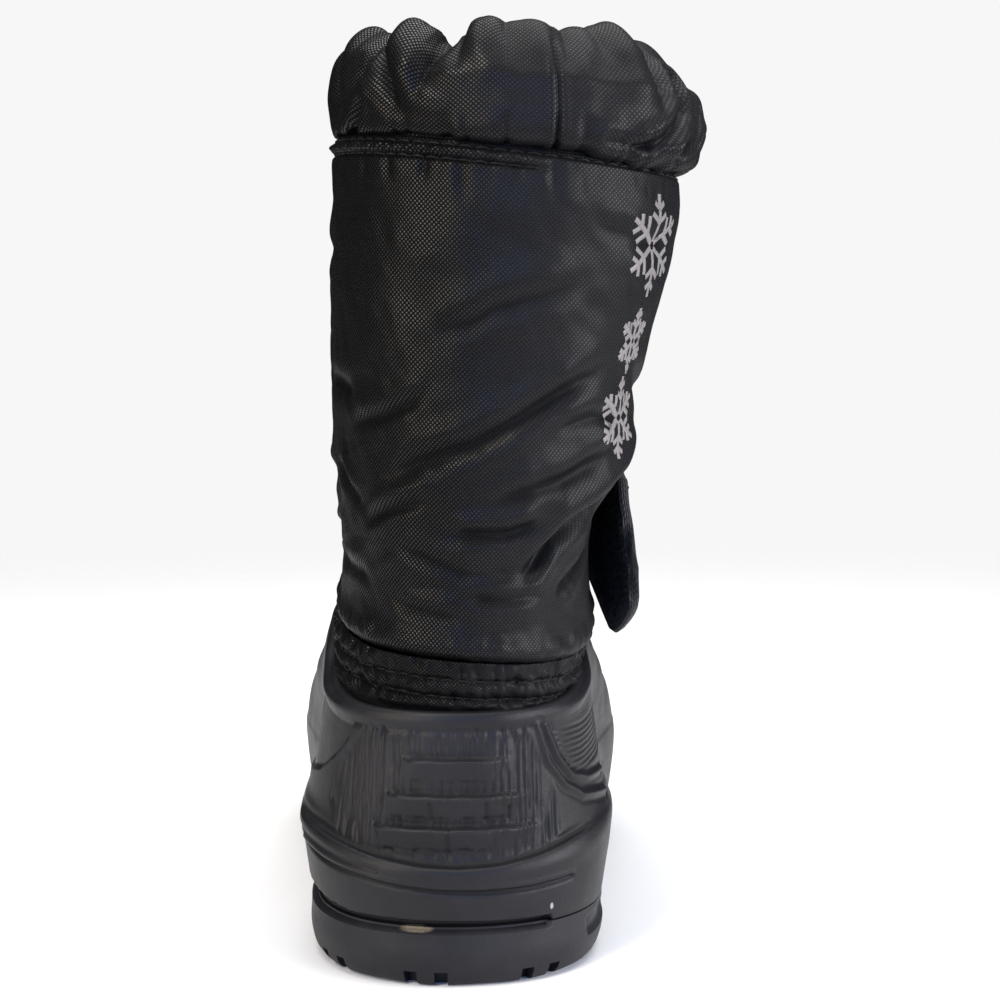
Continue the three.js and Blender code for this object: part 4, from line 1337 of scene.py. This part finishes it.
collar_degrees = turns(roll.angles)[None, :]
radial = np.stack([np.sin(roll.angles), -np.cos(roll.angles), 0 * roll.angles], axis=-1)
outside = smoothstep(-2 * MM, 2 * MM, ((collar_skin - roll.heart) * radial).sum(axis=2))
relief = collar_relief(collar_degrees, collar_skin[..., 2] / MM, outside)
collar_points = collar_skin + outward(collar_skin) * (relief * MM)[..., None]
collar = lattice("gathered_collar", collar_points, cloth_uv(collar_skin), tube=True)
# Painted shade in the collar's valleys and folds.
point_values(collar, "painted_crease_shade", hollows(relief, 5, 0.15, 1.3))
collar.data.materials.append(collar_nylon)
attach(collar, "root")
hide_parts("collar")
print("collar:", len(collar.data.polygons), "quads;",
      "relief in mm", relief.min().round(1), relief.max().round(1))

# %% [markdown]
# ## Strap
#
# A webbing strap is sewn to the inner side of the ankle, crosses the front and ends in a pointed tab that
# stands away from the leg on the outer side. Its line, width and slope are read off the solid with level
# rays. The visible strap is the webbing with a bound edge: raised, soft, and set off from the middle by a
# stitched trough.

# %% Strap read off the solid
STRAP_THICKNESS = 2.2 * MM
STRAP_BINDING = 2.6  # width of the bound edge, mm
strap_tree = ray_tree("strap")
strap_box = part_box("strap")


def strap_hit(angle, z):
    out = Vector((math.sin(angle), -math.cos(angle), 0))
    middle = Vector((LEG_AXIS[0], LEG_AXIS[1], z))
    hit = strap_tree.ray_cast(middle + out * Wall.FAR, -out)[0]
    far = (hit - middle).dot(out) if hit else 0
    return far if far > 0 else None


heights = np.arange(strap_box[0].z, strap_box[1].z, 0.25 * MM)
found = []
for angle in np.radians(np.arange(0, 360, 0.4)):
    reached = [z for z in heights if strap_hit(angle, z)]
    if reached:
        found.append((angle, min(reached), max(reached)))
strap_angles, strap_low, strap_high = (np.array(line) for line in zip(*found))
strap_low, strap_high = spread(strap_low, 2, False), spread(strap_high, 2, False)
OUTER_SHARES = np.linspace(0.015, 0.985, 21)
shares = OUTER_SHARES[:, None]
strap_z = strap_low + (strap_high - strap_low) * shares
radii = np.array([[strap_hit(a, z) or np.nan for a, z in zip(strap_angles, line)] for line in strap_z])
for line in radii:
    known = ~np.isnan(line)
    line[:] = np.interp(strap_angles, strap_angles[known], line[known])
radii = spread(spread(radii, 4, False).T, 2, False).T
strap_x = LEG_AXIS[0] + np.sin(strap_angles) * radii
strap_y = LEG_AXIS[1] - np.cos(strap_angles) * radii
strap_skin = np.stack([strap_x, strap_y, strap_z], axis=-1)
print("strap spans", [round(math.degrees(a)) for a in strap_angles[[0, -1]]], "degrees,",
      round(path_length(strap_skin[10]) / MM), "mm long,",
      round((strap_high - strap_low).max() / MM), "mm from its lower to its upper edge")

# %% Webbing and loop pile
webbing = Finish("strap webbing", Specular_IOR_Level=0.3, Sheen_Weight=0.04)
x, y = webbing.cloth_axes()
rib = (y * (math.pi / (0.7 * MM))).sine().size()
pick = (x * (math.pi / (1.1 * MM)) + (y * (math.pi / (1.4 * MM))).sine() * 0.8).sine().size()
lint = webbing.noise(320, 4, 0.7)
webbing.feed(
    Base_Color=webbing.mix(rib * pick * 0.5 + lint * 0.45, grey(9, 9, 11), grey(50, 50, 52)),
    Roughness=lint * 0.2 + 0.5,
    Normal=webbing.bump(rib * pick + lint * 0.3, 0.25 * MM),
)
pile = Finish("strap pile", Specular_IOR_Level=0.2, Sheen_Weight=0.08)
tangle = pile.noise(1300, 3, 0.7)
pile.feed(
    Base_Color=pile.mix(tangle, grey(2, 2, 3), grey(13, 12, 16)),
    Roughness=tangle * 0.2 + 0.7,
    Normal=pile.bump(tangle, 0.3 * MM),
)

# %% Strap mesh
strap_out = outward(strap_skin, ring=False)
wide = (strap_high - strap_low) / MM
from_edge = np.minimum(shares, 1 - shares) * wide
from_tip = np.concatenate([[0], np.cumsum(np.linalg.norm(np.diff(strap_skin[10], axis=0), axis=1))]) / MM
edge = np.minimum(from_edge, from_tip[None, :])
bound_edge = smoothstep(STRAP_BINDING + 0.5, STRAP_BINDING - 0.3, edge)
relief = 0.4 * bound_edge - 0.35 * bell(edge - STRAP_BINDING - 0.7, 0.5)
unevenness = value_noise(from_tip / 5 + 0 * shares, shares * wide / 5, 91)
relief = relief - 0.3 * smoothstep(1.0, 0, from_edge) + 0.12 * unevenness
strap_front = strap_skin + strap_out * (relief * MM)[..., None]
strap_back = (strap_skin - strap_out * STRAP_THICKNESS)[::-1]
top_edge = strap_skin[-1] + (strap_skin[-1] - strap_skin[-2]) * 0.4 - strap_out[-1] * STRAP_THICKNESS / 2
low_edge = strap_skin[0] + (strap_skin[0] - strap_skin[1]) * 0.4 - strap_out[0] * STRAP_THICKNESS / 2
section = np.concatenate([strap_front, top_edge[None], strap_back, low_edge[None]])
ends = [np.repeat(section[:, k].mean(axis=0)[None], len(section), axis=0)[:, None] for k in (0, -1)]
section = np.concatenate([ends[0], section, ends[1]], axis=1)
strap = lattice("webbing_strap", section, cloth_uv(section, ring=False), ring=False, tube=True)
weld(strap)
strap.data.materials.append(webbing.material)
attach(strap, "root")
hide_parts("strap")
print("strap:", len(strap.data.polygons), "faces, tip at", [round(c / MM) for c in strap_skin[10, 0]])

# %% [markdown]
# The inner face of the free end is loop tape: thousands of tiny nylon curls. A Geometry Nodes tree sets one
# bent thread on each loose point, turned and sized by what the point carries.

# %% Loop pile
curl_maker = Making("pile", Thread_radius=0.055 * MM)
bend = curl_maker.add("GeometryNodeCurveQuadraticBezier", None, {
    "Resolution": 5, "Start": (-0.35 * MM, 0, -0.1 * MM), "Middle": (0.1 * MM, 0.2 * MM, 1.7 * MM),
    "End": (0.45 * MM, 0, 0.25 * MM)})
ring_profile = curl_maker.add("GeometryNodeCurvePrimitiveCircle", None, {"Resolution": 3})
curl_maker.tree.links.new(curl_maker.given("Thread_radius"), ring_profile.inputs["Radius"])
thread_mesh = curl_maker.add("GeometryNodeCurveToMesh", None, {
    "Curve": bend.outputs[0], "Profile Curve": ring_profile.outputs[0], "Fill Caps": True})
set_on = curl_maker.add("GeometryNodeInstanceOnPoints", None, {
    "Points": curl_maker.given("Geometry"), "Instance": thread_mesh.outputs[0],
    "Rotation": facing_rotation(curl_maker, curl_maker.stored("facing"), curl_maker.stored("up")),
    "Scale": curl_maker.stored("size")})
curl_maker.finish(set_on.outputs[0])

CURLS = 3600
PILE_LENGTH = 42  # mm from the tip
pile_columns = int(np.searchsorted(from_tip, PILE_LENGTH))
rng = np.random.default_rng(17)
column = rng.uniform(6, pile_columns, CURLS).astype(int)
row = rng.uniform(0.09, 0.91, CURLS) * (len(shares) - 1)
i = row.astype(int)
share = (row - i)[:, None]
back = strap_skin - strap_out * STRAP_THICKNESS
roots = back[i, column] * (1 - share) + back[np.minimum(i + 1, len(shares) - 1), column] * share
spin = rng.normal(0, 1, (CURLS, 3))
ups = -strap_out[i, column] + rng.normal(0, 0.25, (CURLS, 3))
sizes = np.repeat(rng.uniform(0.6, 1.25, (CURLS, 1)), 3, axis=1)
curls = curl_maker.run("strap_loop_pile", roots, attributes={"facing": spin, "up": ups, "size": sizes},
                       material=pile.material)
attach(curls, "root")
print("loop pile:", len(curls.data.polygons), "faces")

# %% [markdown]
# ## Stitches
#
# Every seam is sewn with one tree: it spaces points along a line, and sets on each a short bent thread that
# comes out of the cloth, lies on it and goes back in. The thread is thickest in its middle, where the twist
# opens.

# %% Stitch tree
stitch_maker = Making("stitches", Pitch=3.7 * MM, Length=2.9 * MM, Thread_radius=0.24 * MM, Rise=0.26 * MM)
line = stitch_maker.add("GeometryNodeMeshToCurve", None, {"Mesh": stitch_maker.given("Geometry")})
spaced = stitch_maker.add("GeometryNodeResampleCurve", {"mode": "LENGTH"}, {
    "Curve": line.outputs[0], "Length": stitch_maker.given("Pitch")})
half = stitch_maker.add("ShaderNodeMath", {"operation": "MULTIPLY"}, {
    0: stitch_maker.given("Length"), 1: 0.5})
back_half = stitch_maker.add("ShaderNodeMath", {"operation": "MULTIPLY"}, {0: half.outputs[0], 1: -1.0})
lift = stitch_maker.add("ShaderNodeMath", {"operation": "MULTIPLY"}, {0: stitch_maker.given("Rise"), 1: 2.6})
sink = stitch_maker.add("ShaderNodeMath", {"operation": "MULTIPLY"}, {0: stitch_maker.given("Rise"), 1: -1.1})
corners = []
for across, up in ((back_half, sink), (None, lift), (half, sink)):
    corner = stitch_maker.add("ShaderNodeCombineXYZ", None, {"Z": up.outputs[0]})
    if across:
        stitch_maker.tree.links.new(across.outputs[0], corner.inputs["X"])
    corners.append(corner.outputs[0])
arc = stitch_maker.add("GeometryNodeCurveQuadraticBezier", None, {
    "Resolution": 8, "Start": corners[0], "Middle": corners[1], "End": corners[2]})
place_on = stitch_maker.add("GeometryNodeSplineParameter")
centred = stitch_maker.add("ShaderNodeMath", {"operation": "MULTIPLY_ADD"}, {
    0: place_on.outputs[0], 1: 2.0, 2: -1.0})
fourth = stitch_maker.add("ShaderNodeMath", {"operation": "POWER"}, {0: centred.outputs[0], 1: 4.0})
taper = stitch_maker.add("ShaderNodeMath", {"operation": "MULTIPLY_ADD"}, {
    0: fourth.outputs[0], 1: -0.6, 2: 1.0})
tapered = stitch_maker.add("GeometryNodeSetCurveRadius", None, {
    "Curve": arc.outputs[0], "Radius": taper.outputs[0]})
profile_ring = stitch_maker.add("GeometryNodeCurvePrimitiveCircle", None, {
    "Resolution": 7, "Radius": stitch_maker.given("Thread_radius")})
thread = stitch_maker.add("GeometryNodeCurveToMesh", None, {
    "Curve": tapered.outputs[0], "Profile Curve": profile_ring.outputs[0], "Fill Caps": True})
tangent = stitch_maker.add("GeometryNodeInputTangent")
sewn = stitch_maker.add("GeometryNodeInstanceOnPoints", None, {
    "Points": spaced.outputs[0], "Instance": thread.outputs[0],
    "Rotation": facing_rotation(stitch_maker, tangent.outputs[0], stitch_maker.stored("up"))})
stitch_maker.finish(sewn.outputs[0])

black_thread = Finish("black thread", Specular_IOR_Level=0.2, Sheen_Weight=0.03)
ply = black_thread.noise(2600, 2, 0.6)
black_thread.feed(
    Base_Color=black_thread.mix(ply, grey(2, 2, 3), grey(15, 15, 17)),
    Roughness=ply * 0.2 + 0.42,
    Normal=black_thread.bump(ply, 0.12 * MM),
)

# %% [markdown]
# A line of stitches is given as angles and heights on one of the cloth pieces, and read off that piece's
# own finished face, troughs and all.

# %% Lines on the cloth
class Cloth:
    """A finished outer face: the point at an angle in degrees and a height in mm, and the way out there."""

    def __init__(self, points, degrees):
        order = np.argsort(degrees)
        self.points, self.degrees = points[:, order], degrees[order]
        self.out = outward(points)[:, order]

    def at(self, degrees, z):
        columns = np.interp(degrees, self.degrees, np.arange(len(self.degrees)))
        places, ways = [], []
        for column, height in zip(np.atleast_1d(columns), np.broadcast_to(z, np.shape(columns)).ravel()):
            j = min(int(column), len(self.degrees) - 2)
            share = column - j
            line = self.points[:, j] * (1 - share) + self.points[:, j + 1] * share
            row = np.interp(height * MM, line[:, 2], np.arange(len(line)))
            i = min(int(row), len(line) - 2)
            places.append(line[i] + (line[i + 1] - line[i]) * (row - i))
            ways.append(self.out[i, j])
        return np.array(places), np.array(ways)


def sew(name, places, ways, slot, **sizes):
    edges = [(k, k + 1) for k in range(len(places) - 1)]
    made = stitch_maker.run(name, places, edges, {"up": ways}, black_thread.material, **sizes)
    made.data.polygons.foreach_set("use_smooth", np.ones(len(made.data.polygons), bool))
    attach(made, "root")
    return made


shaft_cloth = Cloth(shaft_outer, leg_degrees)
band_cloth = Cloth(band_outer, turns(band_angles))
whole_turn = np.linspace(-179, 179, 420)
seam_z = shaft_wall.edge_height(np.radians(whole_turn % 360), "high") / MM
sew("collar_stitches_upper", *shaft_cloth.at(whole_turn, seam_z - UPPER_ROW), "collar_nylon",
    Thread_radius=0.32 * MM)
inner_side = whole_turn < ONE_ROW_FROM
lower_row = shaft_cloth.at(whole_turn[inner_side], seam_z[inner_side] - LOWER_ROW)
sew("collar_stitches_lower", *lower_row, "collar_nylon", Thread_radius=0.32 * MM)
band_top = band_wall.edge_height(np.radians(whole_turn % 360), "high") / MM
for number, drop in enumerate(BAND_ROWS_OF_STITCHES, 1):
    sew(f"band_stitches_{number}", *band_cloth.at(whole_turn, band_top - drop), "band_nylon",
        Thread_radius=0.22 * MM)
STRAP_STITCH_INSET = 3.3  # mm from the strap's edge
rim_places = (STRAP_STITCH_INSET, wide.max() - STRAP_STITCH_INSET)
rim_row = [int(np.argmin(abs(OUTER_SHARES * wide.max() - place))) for place in rim_places]
from_end = slice(30, -6)
for number, k in enumerate(rim_row, 1):
    sew(f"strap_stitches_{number}", strap_front[k, from_end], strap_out[k, from_end], "strap_webbing",
        Pitch=3 * MM, Length=2.3 * MM, Rise=0.15 * MM)

# %% [markdown]
# The sewn-down end of the strap carries a boxed cross: one line of stitches round a rectangle and across it
# both ways, given as rows across the strap and millimetres from its end.

# %% Boxed cross
end = len(strap_angles) - 1
from_root = from_tip[-1] - from_tip
near, far = (end - int(np.searchsorted(from_root[::-1], d)) for d in (4, 20))
box_corners = [(4, near), (16, near), (16, far), (4, far), (4, near), (16, far), (4, far), (16, near)]
box_rows, box_columns = zip(*box_corners)
at = np.linspace(0, len(box_corners) - 1, 150)
box_row = np.interp(at, range(len(box_corners)), box_rows).round().astype(int)
box_column = np.interp(at, range(len(box_corners)), box_columns).round().astype(int)
box_places, box_ways = strap_front[box_row, box_column], strap_out[box_row, box_column]
sew("strap_anchor_stitches", box_places, box_ways, "strap_webbing",
    Pitch=2.6 * MM, Length=2 * MM, Rise=0.2 * MM)

# %% [markdown]
# The cord leaves the cuff through two worked holes. Each is a ring of thick thread laid on the cloth:
# points of a small oval are moved to the nearest place on the cuff and a tube is drawn through them.

# %% Worked holes
HOLE_HALF_WIDTH, HOLE_HALF_HEIGHT, HOLE_THREAD = 1.8, 2.4, 0.55 * MM  # the first two in mm
cuff_shape = bmesh.new()
cuff_shape.from_mesh(collar.data)
cuff_tree = BVHTree.FromBMesh(cuff_shape)
cuff_shape.free()
for number, leave in enumerate((cord_path[0], cord_path[-1]), 1):
    spot, facing = cuff_tree.find_nearest(Vector(leave))[:2]
    across = facing.cross(Vector((0, 0, 1))).normalized()
    upward = across.cross(facing)
    oval = []
    for turn in np.linspace(0, 2 * math.pi, 36, endpoint=False):
        ripple = 1 + 0.05 * math.sin(9 * turn)
        aside, above = across * math.cos(turn) * HOLE_HALF_WIDTH, upward * math.sin(turn) * HOLE_HALF_HEIGHT
        aim = spot + (aside + above) * (MM * ripple)
        landed, normal = cuff_tree.find_nearest(aim)[:2]
        oval.append(landed + normal * (0.15 * MM))
    hole = tube(f"cord_hole_{number}", np.array(oval), HOLE_THREAD, sides=10, closed=True)
    hole.data.materials.append(black_thread.material)
    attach(hole, "root")
    print("hole", number, "is", round((Vector(leave) - spot).length / MM, 1), "mm from the cord's end")

# %% [markdown]
# ## Reflective print
#
# A reflective print stands on the outer side of the leg. It is a plain one: three snow crystals in a
# column, each six arms with two pairs of branches. Every stroke is a thin film laid on the cloth's own
# face, its edges sunk a little so that it looks pressed in. Here and there the film has flaked off.

# %% Snow crystals
CRYSTALS = [(53, 166, 11.5), (51, 144.5, 7.5), (49, 127, 9.5)]  # angle in degrees, height and radius in mm
STROKE, FILM, SUNK = 1.15, 0.1 * MM, -0.35 * MM  # width in mm, height of the face, and of its edges
BRANCHES = [(0.45, 0.34), (0.72, 0.24)]  # share of the arm where it forks, length as a share of the arm


def strokes(size):
    """The straight strokes of one crystal, as pairs of points in mm."""
    lines = []
    for arm in range(6):
        way = np.array([math.cos(math.radians(60 * arm + 90)), math.sin(math.radians(60 * arm + 90))])
        lines.append((way * 0.08 * size, way * size))
        for at, length in BRANCHES:
            for side in (-60, 60):
                t = math.radians(60 * arm + 90 + side)
                start = way * at * size
                lines.append((start, start + np.array([math.cos(t), math.sin(t)]) * length * size))
    return lines


film_points, film_faces = [], []
for degrees, height, size in CRYSTALS:
    radius = np.linalg.norm(shaft_cloth.at(np.array([degrees]), np.array([height]))[0][0, :2] - LEG_AXIS) / MM
    for start, end in strokes(size):
        way = (end - start) / np.linalg.norm(end - start)
        across = np.array([-way[1], way[0]]) * STROKE / 2
        count = max(2, int(np.linalg.norm(end - start) / 0.7) + 1)
        first = len(film_points)
        for t in np.linspace(0, 1, count):
            for side, lift in ((-1.15, SUNK), (-1, FILM), (0, FILM), (1, FILM), (1.15, SUNK)):
                x, z = start + (end - start) * t + across * side
                turned_by = np.array([degrees + math.degrees(x / radius)])
                place, way_out = shaft_cloth.at(turned_by, np.array([height + z]))
                film_points.append(place[0] + way_out[0] * lift)
        for k in range(count - 1):
            for j in range(4):
                corner = first + 5 * k + j
                film_faces.append((corner, corner + 5, corner + 6, corner + 1))
film = bpy.data.meshes.new("reflective_crystals")
film.from_pydata([tuple(p) for p in film_points], [], film_faces)
film.polygons.foreach_set("use_smooth", np.ones(len(film_faces), bool))
crystals = new_object("reflective_crystals", film)

silver = Finish("reflective film", Specular_IOR_Level=0.5)
beads = silver.noise(2400, 2, 0.5)
whole = silver.noise(260, 5, 0.75).between(0.34, 0.42)
silver.feed(
    Base_Color=silver.mix(whole, grey(38, 37, 38), grey(122, 117, 116)),
    Roughness=beads * 0.2 + 0.42,
    Normal=silver.bump(beads * 0.4 + whole, 0.08 * MM),
)
crystals.data.materials.append(silver.material)
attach(crystals, "root")
print("reflective print:", len(film_faces), "faces")

# %% [markdown]
# ## Floor and light
#
# The boot stands on a round of pale paper whose edge fades into a pale room, so no horizon shows from any
# side. The room looks bright but lights the boot only a little, so black cloth stays black. A wide warm
# lamp at the left makes the pale streak down the leg, and a wide cool one at the right lights the far edge.
# Behind the camera a bluish one stands for a window. A small one high at the left picks out the lips of the
# ribs and the stitches, and a large soft one overhead brightens the paper.

# %% Paper round
PAPER_RADIUS, PAPER_MIDDLE, FADE_START = 0.8, 0.06, 0.17  # metres; the middle lies ahead of the heel
spokes = np.linspace(0, 2 * math.pi, 96, endpoint=False)
rounds = np.linspace(PAPER_RADIUS, 0, 12)[:, None]
paper_x, paper_y = rounds * np.cos(spokes), PAPER_MIDDLE + rounds * np.sin(spokes)
disc = np.stack(np.broadcast_arrays(paper_x, paper_y, 0 * rounds), axis=-1)
paper = Finish("paper", Specular_IOR_Level=0.1)
x, y = (paper.add("ShaderNodeSeparateXYZ", None, {"Vector": paper.place()}, axis) for axis in "XY")
away = (x * x + (y - PAPER_MIDDLE) * (y - PAPER_MIDDLE)) ** 0.5
tooth = paper.noise(30, 3, 0.5)
paper.feed(
    Base_Color=paper.mix(tooth, grey(232), grey(237)),
    Roughness=tooth * 0.05 + 0.9,
    Alpha=1 - away.between(FADE_START, PAPER_RADIUS * 0.96),
)
floor = weld(lattice("paper_round", disc))
floor.data.materials.append(paper.material)

# %% Lamps
def lamp(name, place, target, size, power, colour):
    light = bpy.data.lights.new(name, "AREA")
    light.shape, light.energy, light.color = "RECTANGLE", power, colour
    light.size, light.size_y = size
    held = bpy.data.objects.new(name, light)
    scene.collection.objects.link(held)
    held.location = place
    held.rotation_euler = (Vector(target) - Vector(place)).to_track_quat("-Z", "Y").to_euler()


LEG = (0.005, 0, 0.12)
lamp("overhead", (0.1, 0.1, 1.3), (0, 0.05, 0), (1.4, 1.4), 27, (1, 1, 1))
lamp("key", (-0.93, -0.78, 0.3), LEG, (1.1, 0.5), 10.5, (1.0, 0.9, 0.74))
lamp("spark", (-0.5, -0.75, 0.95), LEG, (0.22, 0.22), 8, (1.0, 0.93, 0.84))
lamp("window", (-0.05, -1.2, 0.4), LEG, (0.9, 0.4), 5.5, (0.22, 0.42, 1.0))
lamp("side", (1.08, -0.42, 0.32), LEG, (1.2, 0.6), 21, (0.96, 0.96, 1.0))

ROOM_TINT, ROOM_STRENGTH = (0.6, 0.78, 1, 1), 0.02  # what falls on the boot
WALL_SEEN = (0.93, 0.93, 0.93, 1)  # what the camera sees past it

world = bpy.data.worlds.new("studio")
scene.world = world
world.use_nodes = True
sky = world.node_tree
room = sky.nodes["Background"]
room.inputs["Color"].default_value = ROOM_TINT
room.inputs["Strength"].default_value = ROOM_STRENGTH
wall = sky.nodes.new("ShaderNodeBackground")
wall.inputs["Color"].default_value = WALL_SEEN
seen = sky.nodes.new("ShaderNodeLightPath")
either = sky.nodes.new("ShaderNodeMixShader")
sky.links.new(seen.outputs["Is Camera Ray"], either.inputs[0])
sky.links.new(room.outputs[0], either.inputs[1])
sky.links.new(wall.outputs[0], either.inputs[2])
sky.links.new(either.outputs[0], sky.nodes["World Output"].inputs["Surface"])
scene.view_settings.view_transform = "Standard"
